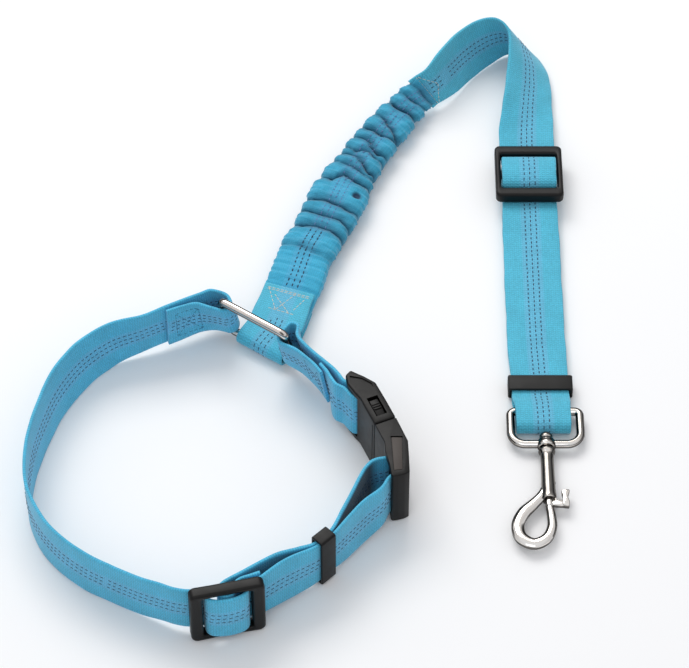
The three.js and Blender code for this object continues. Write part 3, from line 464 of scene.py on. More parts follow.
def web_ribbon(name, strip, start, end, mat, seed, cols=17, thick=WEB_THICK, painted_pocket_shade=None):
    """A closed webbing body between two lengths, with rounded selvedges that waver a little."""
    inside = (strip.along > start + 1e-3) & (strip.along < end - 1e-3)
    along = np.concatenate([[start], strip.along[inside], [end]])
    phase = np.random.default_rng(seed).uniform(0, 6.28, 4)
    half = np.interp(along, strip.along, strip.half)
    plus = (half + 0.10 * np.sin(along / 5.3 + phase[0])
            + 0.07 * np.sin(along / 2.1 + phase[1]) - 0.05)
    minus = (half + 0.10 * np.sin(along / 4.7 + phase[2])
             + 0.07 * np.sin(along / 2.4 + phase[3]) - 0.05)
    face = [u * ((plus if u > 0 else minus) - 0.5) for u in np.linspace(-1, 1, cols)]
    selvedge = ((0.14, 0.74), (0.0, 0.0), (0.14, -0.74))  # inset, level in half thicknesses
    section = [(v, 1.0) for v in face]
    section += [(plus - inset, level) for inset, level in selvedge]
    section += [(v, -1.0) for v in face[::-1]]
    section += [(inset - minus, -level) for inset, level in selvedge]
    across = np.stack([v for v, _ in section], 1)
    along = np.repeat(along[:, None], len(section), 1)
    off = thick / 2 * np.array([level for _, level in section])
    off = off + 0.06 * np.sin(along * 0.31 + phase[0]) * (across / 12.5) ** 2  # faint cupping
    made = tube_mesh(name, strip.at(along, across, off), mat, sharp=65,
                     uv=np.stack([along.ravel(), across.ravel()], 1))
    # painted shade from the pocket mask, kept on the webbing as an attribute
    if painted_pocket_shade is not None:
        add_attribute(made, "painted_pocket_shade", painted_pocket_shade(along, across, off))
    return made


DASH_FACES = []  # over a dash's four rows of three points
for i in range(3):
    DASH_FACES += [(k, k + 1, k + 4, k + 3) for k in (i * 3, i * 3 + 1)]
    DASH_FACES.append((i * 3, i * 3 + 3, i * 3 + 5, i * 3 + 2))
DASH_FACES += [(0, 1, 2), (11, 10, 9)]


def dash_mesh(name, surface, dashes, mat, length=1.55, width=0.62, lift=0.17,
              base=WEB_THICK / 2):
    """Thread dashes (length, across, side, slant), standing base off surface(along, across, off)."""
    place, middle, side, slant = np.array(dashes, float).T[:, :, None]
    x = np.repeat([-0.5, -0.3, 0.3, 0.5], 3) * length
    y = np.outer([0.35, 1.0, 1.0, 0.35], [-1, 0, 1]).ravel() * width / 2
    height = np.array([[-0.06, lift * k + 0.01, -0.06] for k in (0, 1, 1, 0)]).ravel()
    points = surface(place + x * np.cos(slant) - y * np.sin(slant),
                     middle + x * np.sin(slant) + y * np.cos(slant),
                     side * (base + height))
    faces = [tuple(12 * k + i for i in face) for k in range(len(dashes)) for face in DASH_FACES]
    return build(name, points.reshape(-1, 3), faces, mat)


def thread_rows(name, strip, start, end, seed, skip=(0, 0)):
    """Three rows of dark dashes on both faces, with a bare stretch at skip."""
    random = np.random.default_rng(seed)
    dashes = []
    for i, across in enumerate((-2.4, 0.0, 2.4)):
        along = start + 0.9 + 0.4 * i
        while along < end - 0.9:
            if not skip[0] <= along <= skip[1]:
                jitter = random.normal(0, 0.05, 3)
                for side in (1, -1):
                    dashes.append((along + jitter[0], across + jitter[1], side, jitter[2] * 0.6))
            along += 2.4
    return dash_mesh(name, strip.at, dashes, DARK_THREAD)


def stitches(lines, pitch=2.0, sides=(1, -1)):
    """Dashes along straight seams, each given by length and across at its start and end."""
    dashes = []
    for line in lines:
        start, end = np.array(line[:2], float), np.array(line[2:], float)
        run = end - start
        count = max(1, int(np.linalg.norm(run) / pitch))
        slant = math.atan2(run[1], run[0])
        for side in sides:
            dashes += [(*(start + run * (k + 0.5) / count), side, slant) for k in range(count)]
    return dashes


def sweep(points, section, closed=False, ref=UP, scale=None):
    """Rings of an (x, y) section along points; x lies along ref, made square to the path.

    Any ref but UP is carried on from ring to ring.
    """
    points = np.asarray(points, float)
    if closed:
        tangents = unit(np.roll(points, -1, 0) - np.roll(points, 1, 0))
    else:
        tangents = unit(np.gradient(points, axis=0))
    if scale is None:
        scale = np.ones((len(points), 2))
    rings = []
    guide = np.array(ref, float)
    for point, tangent, size in zip(points, tangents, scale):
        x_dir = unit(guide - tangent * (guide @ tangent))
        y_dir = np.cross(tangent, x_dir)
        rings.append([point + x_dir * x * size[0] + y_dir * y * size[1] for x, y in section])
        if ref is not UP:
            guide = x_dir
    return rings


def polar(centre, degrees, radius):
    angle = math.radians(degrees)
    return [centre[0] + radius * math.cos(angle), centre[1] + radius * math.sin(angle)]


def circle(radius, count=28):
    return [polar((0, 0), 360 * (k + 0.5) / count, radius) for k in range(count)]


def box(x0, x1, y0, y1):
    return [(x0, y0), (x1, y0), (x1, y1), (x0, y1)]


def rounded_rect(a, b, radius, arc_steps, side_steps):
    """A rounded rectangle of half sizes a and b, as points."""
    x, y = a - radius, b - radius
    corners = [[polar(centre, start + 90 * i / arc_steps, radius) for i in range(arc_steps + 1)]
               for centre, start in (((x, y), 0), ((-x, y), 90), ((-x, -y), 180), ((x, -y), 270))]
    points = []
    for k in range(4):
        points += corners[k]
        start, end = np.array(corners[k][-1]), np.array(corners[(k + 1) % 4][0])
        points += [start + (end - start) * i / side_steps for i in range(1, side_steps)]
    return points


def lathe(name, profile, mat, count=48, sharp=35):
    """A (radius, y) profile turned about the bolt snap's axis."""
    rings = []
    for radius, y in profile:
        ring = [polar((SNAP_X, SNAP_Z), 360 * k / count, max(radius, 0.02)) for k in range(count)]
        rings.append([(x, y, z) for x, z in ring])
    return tube_mesh(name, rings, mat, sharp=sharp)


def frame_body(name, outer, inner, depth, bevel, place):
    """A plastic ring between matching outlines, with rounded edges."""
    high = depth / 2
    rings = []
    for out_point, in_point in zip(np.array(outer), np.array(inner)):
        gap = np.linalg.norm(out_point - in_point)
        outward = (out_point - in_point) / gap
        cut_back = min(bevel, gap * 0.42, high * 0.8)
        section = []
        for a, z in ((gap, high), (gap, -high), (0, -high), (0, high)):
            step_a = -cut_back if a > 0 else cut_back
            step_z = -cut_back if z > 0 else cut_back
            corner = [(a + step_a * i, z + step_z * j) for i, j in
                      ((1, 0), (0.62, 0.08), (0.29, 0.29), (0.08, 0.62), (0, 1))]
            if (a > 0) != (z > 0):
                corner.reverse()
            section += corner
        rings.append([place(*(in_point + outward * a), z) for a, z in section])
    return tube_mesh(name, rings, PLASTIC, closed=True)


def prism(name, outline, z0, z1, place=buckle_point, mat=PLASTIC, bevel=0.8, segs=3):
    """A block over an outline in a piece's own frame, with rounded edges."""
    bm = bmesh.new()
    low = [bm.verts.new((x, y, z0)) for x, y in outline]
    high = [bm.verts.new((x, y, z1)) for x, y in outline]
    bm.faces.new(low[::-1])
    bm.faces.new(high)
    for i in range(len(low)):
        j = (i + 1) % len(low)
        bm.faces.new((low[i], low[j], high[j], high[i]))
    bmesh.ops.recalc_face_normals(bm, faces=bm.faces)
    if bevel:
        bmesh.ops.bevel(bm, geom=bm.edges[:], offset=bevel, offset_type="OFFSET", segments=segs,
                        profile=0.5, affect="EDGES", clamp_overlap=True)
    bm.verts.ensure_lookup_table()
    verts = [place(*v.co) for v in bm.verts]
    faces = [[v.index for v in f.verts] for f in bm.faces]
    bm.free()
    return build(name, verts, faces, mat, sharp=40)


def cut(piece, *cutters):
    """Take the cutters out of a piece, one after another."""
    for cutter in cutters:
        modifier = piece.modifiers.new("cut", "BOOLEAN")
        modifier.operation = "DIFFERENCE"
        modifier.solver = "EXACT"
        modifier.object = cutter
        bpy.context.view_layer.update()
        graph = bpy.context.evaluated_depsgraph_get()
        mesh = bpy.data.meshes.new_from_object(piece.evaluated_get(graph))
        piece.modifiers.clear()
        piece.data = mesh
        bpy.data.objects.remove(cutter)
    piece.data.set_sharp_from_angle(angle=math.radians(30))


def cut_blocks(piece, blocks):
    """Cut (outline, z0, z1) blocks out of a buckle half."""
    cut(piece, *[prism("cutter", *block, bevel=0) for block in blocks])


def join(name, *pieces):
    """Several meshes made into one object."""
    mesh = bpy.data.meshes.new(name)
    bm = bmesh.new()
    mats = []
    for piece in pieces:
        start = len(bm.faces)
        bm.from_mesh(piece.data)
        bm.faces.ensure_lookup_table()
        own = piece.data.materials
        for face in bm.faces[start:]:
            mat = own[min(face.material_index, len(own) - 1)]
            if mat not in mats:
                mats.append(mat)
            face.material_index = mats.index(mat)
    bm.to_mesh(mesh)
    bm.free()
    for mat in mats:
        mesh.materials.append(mat)
    for piece in pieces:
        bpy.data.objects.remove(piece)
    return link_object(name, mesh)


def register(nodes):
    if nodes:
        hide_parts(*nodes)


def soft(piece, span, *nodes, slot=None):
    """A piece baked into the layout frame, with its CAD nodes hidden; span (body, body, start, end) is not
    used.
    """
    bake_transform(piece)
    register(nodes)


def hard(piece, body, *nodes, slot=None):
    """A piece that rides on one body."""
    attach(piece, body)
    register(nodes)


# ---- webbing stations: [x, y, z, across x, y, z, width]; the width may be left out ---------------
def on_buckle(points, z, width=24.2):
    return [[*buckle_point(x, y, z), *UP, width] for x, y in points]


def round_bar(bar, angles):
    return on_buckle([polar(bar, degrees, TURN) for degrees in angles], 15.5)


def on_glide(place, points, across, width):
    return [[*place(x, 0, z), *across, width] for x, z in points]


def on_loop_glide(points):
    return on_glide(loop_glide_point, points, UP, 24.45)


def round_ring(side, degrees, radius, upright=0.0, z=RING_MID[2], width=PINCH):
    """Round a side bar of the ring; upright turns the webbing from the ring's lean to upright."""
    across = unit(np.array(RING_AXIS) * (1 - upright) + np.array(UP) * upright)
    return [*polar(RING_MID + RING_DIR * side * RING_HALF, degrees, radius), z, *across, width]


# outer layer over a glide, then the inner layer round its bar: along and off the glide
GLIDE_OVER = [
    [-14, -3.1], [-10.7, -3.2], [-9.15, -2.75], [-8.55, -1.5], [-8.5, 0.2], [-8.1, 1.9],
    [-6.9, 3.3], [-4.6, 4.2], [-2.2, 4.55], [0, 4.65], [2.2, 4.55], [4.6, 4.2], [6.9, 3.3],
    [8.1, 1.9], [8.5, 0.2], [8.55, -1.5], [9.15, -2.75], [10.7, -3.2], [14, -3.15]]
GLIDE_BAR = [
    [-3.05, -0.3], [-3.05, 0.3], [-2.39, 1.89], [-0.8, 2.55],
    [0.8, 2.55], [2.39, 1.89], [3.05, 0.3], [3.05, -0.3]]

LOOP = [
    [-75.3, -9.4, 15.6, 0, -0.06, 1, 24], [-68.5, -6.4, 16.0, -0.05, -0.1, 1, 23.6],
    [-62.0, -4.2, 16.3, -0.1, -0.15, 1, 23], [-56.6, -4.8, 16.5, *RING_AXIS, 21.6],
    *[round_ring(-1, degrees, RING_TURN) for degrees in np.linspace(235.5, 340, 5)],
    [-47.1, -1.2, 16.5, *RING_AXIS, PINCH], [-48.7, 2.0, 16.5, *RING_AXIS, 21],
    [-52.0, 3.6, 16.5, *RING_AXIS, 21.6], [-56.0, 3.2, 16.5, -0.11, -0.15, 1, 22.6],
    [-60.0, 1.1, 16.4, -0.08, -0.12, 1, 23], [-66.0, -2.3, 16.3, -0.03, -0.09, 1, 24],
    [-73.0, -6.0, 16.0, 0, -0.06, 1, 24.6], [-86.5, -12.0, 14.6, 0, -0.05, 1],
    [-98.8, -16.5, 13.0, -0.047, 0.093, 0.99], [-110.8, -27.2, 12.6, -0.158, 0.135, 0.978],
    [-120.2, -42.8, 12.6, -0.174, 0.078, 0.98], [-126.2, -61.5, 12.7, -0.135, 0.033, 0.99],
    [-129.4, -78.0, 12.8, -0.087, 0, 0.996], [-129.6, -97.0, 12.8, -0.02, 0, 1],
    [-124.5, -112.5, 12.8, 0.02, 0.02, 1], [-115.5, -125.2, 12.8, 0.02, 0.02, 1],
    [-104.8, -134.4, 12.8, 0.02, 0.02, 1], [*LOOP_SPLIT, 0.02, 0, 1],
    [-81.7, -147.1, 13.3, 0.02, 0, 1], [-72.5, -151.2, 14.2, *UP, 24.8],
    [-67.3, -153.4, 14.8, *UP, 24.6],
    *on_loop_glide(GLIDE_OVER),
    [-30.9, -146.3, 15.2, 0, 0.04, 1, 24.6], [-25.8, -142.3, 15.1, 0, 0.08, 1],
    [-18.7, -137.6, 14.9, 0, 0.06, 1], [-11.3, -132.6, 14.5, *UP, 24.2],
    [-7.68, -129.17, 14.5, *UP, 24.2], [-4.1, -125.7, 14.5, *UP, 24.2],
    [1.9, -118.4, 14.5, 0, 0.07, 1], [9.0, -109.9, 14.5, 0, 0.08, 1],
    [15.4, -103.6, 15.0, 0, 0.04, 1, 24.6],
    *on_buckle([[25.2, -9.6], [23.6, -6.4], [22.2, -4.2], [20.9, -2.65]], 15.5),
    *round_bar(PLUG_BAR, (65, 90, 120, 150, 180)),
    *on_buckle([[15.0, -6.5], [14.4, -9.2], [14.5, -12.3], [16.3, -15.8], [19.8, -19.8]],
               15.3, 24.4),
    [3.0, -105.6, 14.8, *UP, 24.8], [-0.8, -114.6, 14.6, *UP, 24.6],
    [-5.4, -124.3, 14.5, *UP, 24.2], [*KEEPER_RETURN, *UP, 24.2],
    [-12.5, -131.3, 14.5, *UP, 24.2], [-18.6, -133.7, 14.8, *UP, 24.6],
    [-25.9, -136.2, 15.0, *UP, 24.6], [-33.5, -140.5, 15.1, *UP, 24.4],
    *on_loop_glide([
        [9.1, -8.0], [3.5, -5.9], [-0.6, -3.9], [-2.6, -1.9], *GLIDE_BAR,
        [3.3, -1.4], [4.5, -3.3], [7.0, -4.75], [10.5, -5.15], [14.8, -5.7]]),
]

CONNECTOR = [
    [-8.2, -41.9, 15.4, -0.14, -0.11, 1, 24.0], [-11.0, -37.4, 15.7, -0.16, -0.13, 1, 24.0],
    [-14.4, -33.0, 15.9, -0.17, -0.16, 1, 23.4], [-19.2, -28.2, 16.2, -0.16, -0.2, 1, 22.0],
    round_ring(1, 235.5, RING_TURN), round_ring(1, 212, 3.2),
    round_ring(1, 188, 3.4, 0.1, 16.7, 20.4), round_ring(1, 163, 3.4, 0.35, 17.1, 19.8),
    round_ring(1, 138, 3.4, 0.7, 17.6, 19.0), round_ring(1, 112, 4.1, 1, 18.0, 18.2),
    round_ring(1, 84, 6.2, 1, 18.0, 18.2), round_ring(1, 56, 6.6, 0.8, 17.7, 18.8),
    [-18.3, -20.9, 16.7, -0.16, -0.16, 1, 21.0], [-14.6, -26.4, 16.1, -0.18, -0.16, 1, 22.8],
    [-10.5, -31.6, 15.8, -0.17, -0.14, 1, 23.8], [-6.8, -36.1, 15.6, -0.13, -0.1, 1, 24.2],
    [-4.1, -40.2, 15.5, -0.08, -0.05, 1, 24.3], [-2.3, -44.2, 15.4, -0.02, 0, 1, 24.3],
    *on_buckle([[-29.0, -5.9], [-26.0, -3.7], [-23.6, -1.7]], 15.5),
    *round_bar(SOCKET_BAR, (90, 45, 0, -45, -90)),
    *on_buckle([[-25.2, -7.4], [-28.6, -9.6]], 15.5),
    [-5.4, -45.2, 15.2, -0.04, -0.03, 1, 24.3], [-6.3, -41.3, 15.4, -0.11, -0.08, 1, 24.2],
    [-8.5, -37.1, 15.6, -0.15, -0.12, 1, 24.0],
]

ACROSS = -RING_DIR  # across the tab at the ring, halfway, and along the sleeve
HALFWAY = [-0.89, 0.45, 0]
SLEEVE_ACROSS = [-0.945, 0.326, 0]


def tab_at(out, z, shift):
    """A place out from the ring's low bar, shifted back along it."""
    x, y, _ = RING_LOW + out * RING_OUT - shift * RING_DIR
    return [x, y, z]


TAB = [
    [*tab_at(25.5, 1.35, 5.6), *SLEEVE_ACROSS, 24], [*tab_at(20, 1.3, 3.8), *SLEEVE_ACROSS, 24],
    [*tab_at(13, 1.2, 1.7), *HALFWAY, 24], [*tab_at(7, 1.15, 0.3), *ACROSS, 24],
    *[[*tab_at(*polar((0, RING_LOW[2]), degrees, TURN), 0), *ACROSS, 24]
      for degrees in range(-90, -271, -30)],
    [*tab_at(6, 7.1, 0.2), *ACROSS, 24], [*tab_at(12, 7.3, 1.4), *HALFWAY, 24],
    [*tab_at(19, 7.35, 3.5), *SLEEVE_ACROSS, 23.6],
    [*tab_at(25, 7.45, 5.4), *SLEEVE_ACROSS, 23.2],
    [*tab_at(30.5, 7.6, 7.1), *SLEEVE_ACROSS, 23.0],
]

# the last two columns are the sleeve's half width and half depth
SLEEVE = np.array([
    [*tab_at(13.5, 4.3, 1.8), *HALFWAY, 11.6, 1.9],
    [*tab_at(19, 4.3, 3.5), *SLEEVE_ACROSS, 11.8, 1.9],
    [*tab_at(26, 4.35, 5.7), *SLEEVE_ACROSS, 12.0, 1.9],
    [*tab_at(31, 4.5, 7.2), *SLEEVE_ACROSS, 12.0, 2.1],
    [*tab_at(37, 5.2, 8.7), *SLEEVE_ACROSS, 12.2, 4.0],
    [-17.2, 39.0, 5.6, *SLEEVE_ACROSS, 11.8, 4.8],
    [-12.2, 49.5, 5.8, -0.92, 0.39, 0.02, 11.6, 4.9],
    [-7.0, 62.0, 5.8, -0.92, 0.38, 0.04, 12.2, 4.9],
    [-1.0, 77.5, 5.9, -0.92, 0.38, 0.06, 12.2, 4.9],
    [5.8, 92.0, 6.0, -0.9, 0.42, 0.08, 11.4, 4.8],
    [14.0, 107.0, 6.2, -0.87, 0.46, 0.14, 10.6, 4.7],
    [23.4, 121.5, 6.8, -0.82, 0.48, 0.28, 9.9, 4.4],
    [30.6, 130.9, 8.2, -0.72, 0.4, 0.52, 9.8, 3.0],
    [35.4, 135.2, 9.6, -0.62, 0.24, 0.74, 10.4, 1.9],
    [37.2, 136.4, 10.3, -0.58, 0.17, 0.8, 10.8, 1.9],
], float)

FLAT = [-1, 0, 0]


def edges(*points):
    """A station from the webbing's two edges, lower edge first."""
    low, high = np.array(points, float).reshape(2, 3)
    return [*((low + high) / 2), *(high - low), np.linalg.norm(high - low)]


def lying(*rows):
    """Stations of webbing lying flat, from rows x, y, z, width."""
    return [[x, y, z, *FLAT, width] for x, y, z, width in rows]


def bail_fold(degrees):
    y, z = polar((BAIL_FAR - 7.2, SNAP_Z), 180 - degrees, TURN)
    return (SNAP_X - 0.8, y, z, 23.2)


def on_leash_glide(points):
    return on_glide(leash_glide_point, points, FLAT, 24.2)


LEASH = [
    [34.6, 134.6, 9.35, -0.64, 0.27, 0.71, 18], [37.4, 136.5, 10.4, -0.58, 0.17, 0.8, 18.4],
    edges(46.0, 137.6, 3.0, 36.4, 139.2, 20.4), edges(52.6, 144.9, 2.0, 42.6, 147.2, 23.6),
    edges(59.3, 153.6, 1.0, 50.3, 158.6, 23.7), edges(67.0, 161.9, 1.0, 59.6, 166.6, 24.2),
    edges(76.2, 168.6, 1.2, 69.0, 168.0, 25.2), edges(86.0, 167.6, 1.8, 74.2, 163.8, 23.6),
    edges(92.4, 157.4, 2.2, 75.2, 154.0, 20.0), edges(94.6, 145.9, 2.4, 74.0, 142.6, 16.2),
    edges(94.6, 132.6, 2.9, 71.9, 128.6, 12.4), edges(94.8, 117.0, 4.0, 69.9, 115.0, 6.6),
    *lying((82.2, 106.5, 4.75, 24.8)),
    *on_leash_glide(GLIDE_OVER),
    *lying(
        (82.2, 64.0, 4.7, 24.6), (82.2, 55.0, 4.0, 25), (82.2, 44.0, 3.3, 25),
        (82.2, 20.0, 3.1, 25), (82.3, -10.0, 3.3, 25), (82.7, -24.0, 4.1, 24.4),
        (82.9, -32.0, 4.4, 24.2), (82.9, -36.6, 4.38, 24.2), (83.0, -39.5, 4.9, 24.2),
        (83.2, -42.6, 6.3, 23.8), (83.4, -46.4, 6.98, 23.3),
        *[bail_fold(degrees) for degrees in range(90, -91, -30)],
        (83.4, -46.4, 1.02, 23.3), (83.2, -42.0, 1.5, 24.2), (82.9, -37.0, 2.62, 24.2),
        (82.9, -27.5, 2.65, 24.2), (82.5, -20.0, 1.5, 24.6), (82.3, -6.0, 1.2, 24.8),
        (82.2, 20.0, 1.15, 24.8), (82.2, 50.0, 1.2, 24.6), (82.2, 64.0, 1.25, 24.4)),
    *on_leash_glide([
        [13, -6.75], [7.4, -6.4], [2.5, -5.1], [-1.2, -3.5], [-2.65, -1.8], *GLIDE_BAR,
        [3.25, -1.3], [4.4, -3.2], [6.8, -4.55], [10.5, -4.95], [16, -4.95], [21.5, -4.9]]),
]

# ---- loop webbing -----------------------------------------------------------------------------
SIDE_BAR = (-12.5, 0, -3.15)  # beside a glide's side bar, where two webbing pieces meet
loop = Strip(LOOP)
loop_join = loop.nearest(loop_glide_point(*SIDE_BAR))
at_plug = loop.nearest(buckle_point(14.4, -9.2, 15.3))
at_keeper = loop.nearest(KEEPER_RETURN, after=at_plug)
at_split = loop.nearest(LOOP_SPLIT)
FAR_SPAN = ("headrest_loop", "plug", (-100, -10, 15), (-100, -128, 15))
GLIDE_SPAN = ("plug", "loop_glide", (-94, -141, 15), (-61, -141, 15))
NEAR_SPAN = ("loop_glide", "plug", (-39, -152, 15), (-17, -134, 15))


def between(along, across, off):
    """Painted shade on the returning layer where the outer layer stands in front of it."""
    near = np.clip((along - at_plug) / 5.0, 0, 1) * np.clip((at_keeper + 1 - along) / 4.0, 0, 1)
    past = (0.6 * np.clip((along - at_keeper - 4) / 3.0, 0, 1)
            * np.clip((loop.end - 22 - along) / 6.0, 0, 1))
    edge = np.clip((12.0 - across) / 1.2, 0, 1)
    return np.where(off > 0.1, 0.97 * near + past, 0.0) * edge


soft(web_ribbon("loop_strap_far", loop, 0.0, at_split, LOOP_WEB_LIT, seed=1), FAR_SPAN,
     "loop_webbing", slot="webbing")
soft(web_ribbon("loop_strap_to_glide", loop, at_split, loop_join, LOOP_WEB_LIT, seed=2), GLIDE_SPAN,
     slot="webbing")
# the near span carries painted shade where its two layers stand together by the plug
soft(web_ribbon("loop_strap_near", loop, loop_join, loop.end, LOOP_WEB_LIT, seed=3, painted_pocket_shade=between),
     NEAR_SPAN, slot="webbing")
soft(thread_rows("loop_thread_far", loop, 1, at_split, seed=4), FAR_SPAN)
soft(thread_rows("loop_thread_to_glide", loop, at_split, loop_join, seed=5), GLIDE_SPAN)
soft(thread_rows("loop_thread_near", loop, loop_join, loop.end, seed=6), NEAR_SPAN)

# sewn fold at the ring: a crossed box on the loose end
loop_box = stitches([
    (4.0, -8.0, 4.0, 8.0), (15.0, -8.0, 15.0, 8.0), (4.0, -8.0, 15.0, -8.0),
    (4.0, 8.0, 15.0, 8.0), (4.0, -8.0, 15.0, 8.0), (4.0, 8.0, 15.0, -8.0)])
BOX_DASH = dict(mat=BLUE_THREAD, length=1.6, width=0.5, lift=0.13)
soft(dash_mesh("loop_box_stitch", loop.at, loop_box, **BOX_DASH), FAR_SPAN)

# ---- connector strap, from the ring to the socket ---------------------------------------------
connector = Strip(CONNECTOR)
hard(web_ribbon("connector_webbing", connector, 0.0, connector.end, LOOP_WEB_LIT, seed=7),
     "headrest_loop", "connector_strap", slot="webbing")
hard(thread_rows("connector_thread", connector, 1, connector.end - 1, seed=8), "headrest_loop")
connector_box = stitches([
    (3.0, -8.5, 3.0, 8.5), (12.0, -8.5, 12.0, 8.5), (3.0, -8.5, 12.0, 8.5),
    (3.0, 8.5, 12.0, -8.5)])
hard(dash_mesh("connector_stitch", connector.at, connector_box, **BOX_DASH), "headrest_loop")

# ---- end tab on the ring ----------------------------------------------------------------------
tab = Strip(TAB, step=0.6)
hard(web_ribbon("end_tab_webbing", tab, 0.0, tab.end, WEB, seed=9),
     "bungee_end", "bungee_end_tab", slot="webbing")
hard(thread_rows("end_tab_thread", tab, 2, tab.end - 17, seed=10), "bungee_end")
outer, inner = tab.end - 2.2, tab.end - 13.5  # lengths of the end and ring-side seams
tab_seams = stitches([
    (outer, -9.6, outer, 9.6), (outer - 0.9, -9.6, outer - 0.9, 9.6), (inner, -6, inner, 6),
    (outer, 9.0, inner, 2.5), (outer, -3.5, inner, 2.5), (outer - 3, 5.5, inner, -3.5),
    (outer - 2, -8.0, inner + 2, -5.0)], pitch=1.9, sides=(-1, 1))
hard(dash_mesh("end_tab_stitch", tab.at, tab_seams, LIGHT_THREAD, length=1.7, width=0.55,
               lift=0.2), "bungee_end")

# ---- gathered sleeve --------------------------------------------------------------------------
# Each crease: points (length, across from -1 to 1), depth, and roll widths before and after it.
CREASES = [
    ([(40.5, .25), (39.1, -.25), (38.5, -.8)], 0.9, (0.8, 1.6)),
    ([(51.4, .65), (54.4, 0), (54.1, -.45), (51.4, -1)], 2.0, (1.0, 2.2)),
    ([(60.1, .55), (61.4, .05), (60.7, -.6), (58.4, -1)], 1.9, (1.0, 2.0)),
    ([(68.2, .65), (69, .15), (69, -.4), (67.8, -.75)], 2.1, (0.9, 2.0)),
    ([(81.6, .5), (86.1, .25), (87.6, .1), (85.7, -.3), (84.2, -.75)], 2.7, (0.9, 2.3)),
    ([(93.1, .5), (92.4, .05), (90.9, -.5)], 1.6, (0.9, 1.6)),
    ([(98.5, -.05), (93.1, -.75)], 2.8, (0.8, 2.0)),
    ([(102.5, .4), (104.5, 0), (102.1, -.55)], 1.7, (0.9, 1.7)),
    ([(109.3, .15), (105.7, -.6)], 2.8, (0.8, 1.9)),
    ([(115.4, .7), (116.6, .35), (116.2, -.1)], 2.6, (0.8, 2.0)),
    ([(124.7, .3), (122.2, -.25), (118.3, -.85)], 1.9, (0.9, 2.0)),
    ([(134, .55), (134.3, -.15), (134.3, -.75)], 2.5, (0.8, 2.0)),
    ([(141.3, .4), (143, -.25)], 1.3, (0.8, 1.4)),
    ([(148.5, .2), (148.8, -.2)], 1.4, (0.7, 1.3)),
]
lengths, middles, sides, sizes = even(
    *(catmull(table, 400) for table in (SLEEVE[:, :3], unit(SLEEVE[:, 3:6]), SLEEVE[:, 6:8])),
    step=0.55)
sides = unit(sides)
tangents = unit(np.gradient(middles, axis=0))
normals = unit(np.cross(tangents, sides))
PHASE = np.random.default_rng(11).uniform(0, 6.28, 12)


def smoothstep(low, high, x):
    x = np.clip((x - low) / (high - low), 0, 1)
    return x * x * (3 - 2 * x)


def half_sizes(along):
    """Half width and half depth of the sleeve, narrower where it is stuffed."""
    width, depth = np.moveaxis(columns_at(along, lengths, sizes), -1, 0)
    taper = (0.9 * smoothstep(34, 42, along) + 1.3 * smoothstep(72, 96, along)
             + 1.0 * smoothstep(122, 146, along))
    return width - taper, depth - 0.5 * smoothstep(2.2, 4.4, depth)


def creases(along, phi):
    """Each crease's distance along from here, its depth, strength and roll widths."""
    for points, depth, widths in CREASES:
        knots = np.array(sorted((across, place) for place, across in points))
        low, high = knots[0, 0], knots[-1, 0]
        place = np.interp(phi, knots[:, 0], knots[:, 1]) + 0.5 * np.sin(phi * 4.0 + depth * 9)
        fade = smoothstep(low - 0.5, low - 0.05, phi)
        fade = fade * (1 - smoothstep(high + 0.05, high + 0.5, phi))
        yield along - place, depth, np.maximum(fade, 0.72), *widths


def dimple(along, phi):
    """A small dark dimple on the minus side of the sleeve."""
    return np.exp(-(((along - 77.0) / 1.7) ** 2 + ((phi + 0.7) / 0.15) ** 2) ** 2)


def groove(along, phi):
    """How deep in a crease a place is, from 0 to about 1; it sets the painted shade of the creases and
    darkens the dimple.
    """
    deepest = np.zeros_like(along)
    for x, depth, fade, _, _ in creases(along, phi):
        deepest = np.maximum(deepest, fade * np.exp(-np.abs(x) / 1.5) * min(depth / 1.9, 1.2))
    return np.maximum(deepest * smoothstep(35.5, 41.5, along), 1.4 * dimple(along, phi))


def puff(along, phi):
    """How far the cloth stands out from the sleeve's own section, negative in a crease."""
    loose = smoothstep(35.5, 41.5, along) * (1 - 0.75 * smoothstep(143, 151, along))
    height = np.full_like(along, 1.55)
    for x, depth, fade, before, after in creases(along, phi):
        width = np.where(x < 0, 2.2 + 1.6 * before, 2.2 + 1.25 * after)
        near = np.clip(1 - np.abs(x) / width, 0, 1)
        # a circular fall-off leaves the cloth between creases as a roll
        roll = 1 - np.sqrt(np.maximum(1 - near * near, 0))
        height = height - (1.1 + 1.3 * depth) * fade * roll
    fine = (0.16 * np.sin(along * 1.9 + phi * 3.0 + PHASE[0])
            + 0.12 * np.sin(along * 3.3 - phi * 4.0 + PHASE[1])
            + 0.08 * np.sin(along * 5.2 + 6 * phi + PHASE[2])
            + 0.16 * np.sin(phi * 9 + along * 0.7 + PHASE[3]))
    flat_end = smoothstep(17, 23, along) * (1 - smoothstep(36, 41, along))
    small = (0.20 * np.sin(along * 1.55 + 1.5 * np.sin(phi * 2.2) + PHASE[4])
             + 0.12 * np.sin(along * 2.7 - 2 * phi + PHASE[5]))
    return loose * (np.maximum(height, -3.2) + fine - 1.2 * dimple(along, phi)) + flat_end * small


def pull(along, phi):
    """Cloth beside a crease leans over it, so that the fold closes on itself."""
    loose = smoothstep(35.5, 41.5, along) * (1 - smoothstep(144, 151, along))
    lean = np.zeros_like(along)
    for x, depth, fade, _, _ in creases(along, phi):
        lean = lean - (np.sign(x) * 0.26 * depth * fade * (1 - np.exp(-np.abs(x) / 0.5))
                       * np.exp(-np.abs(x) / 1.9))
    return loose * lean


def sleeve_point(along, across, up, lean):
    """Sleeve offsets across, up and forward along the sleeve, as layout places."""
    centre, side, normal, tangent = (columns_at(along, lengths, table)
                                     for table in (middles, sides, normals, tangents))
    return (centre + side * across[..., None] + normal * up[..., None]
            + tangent * lean[..., None])


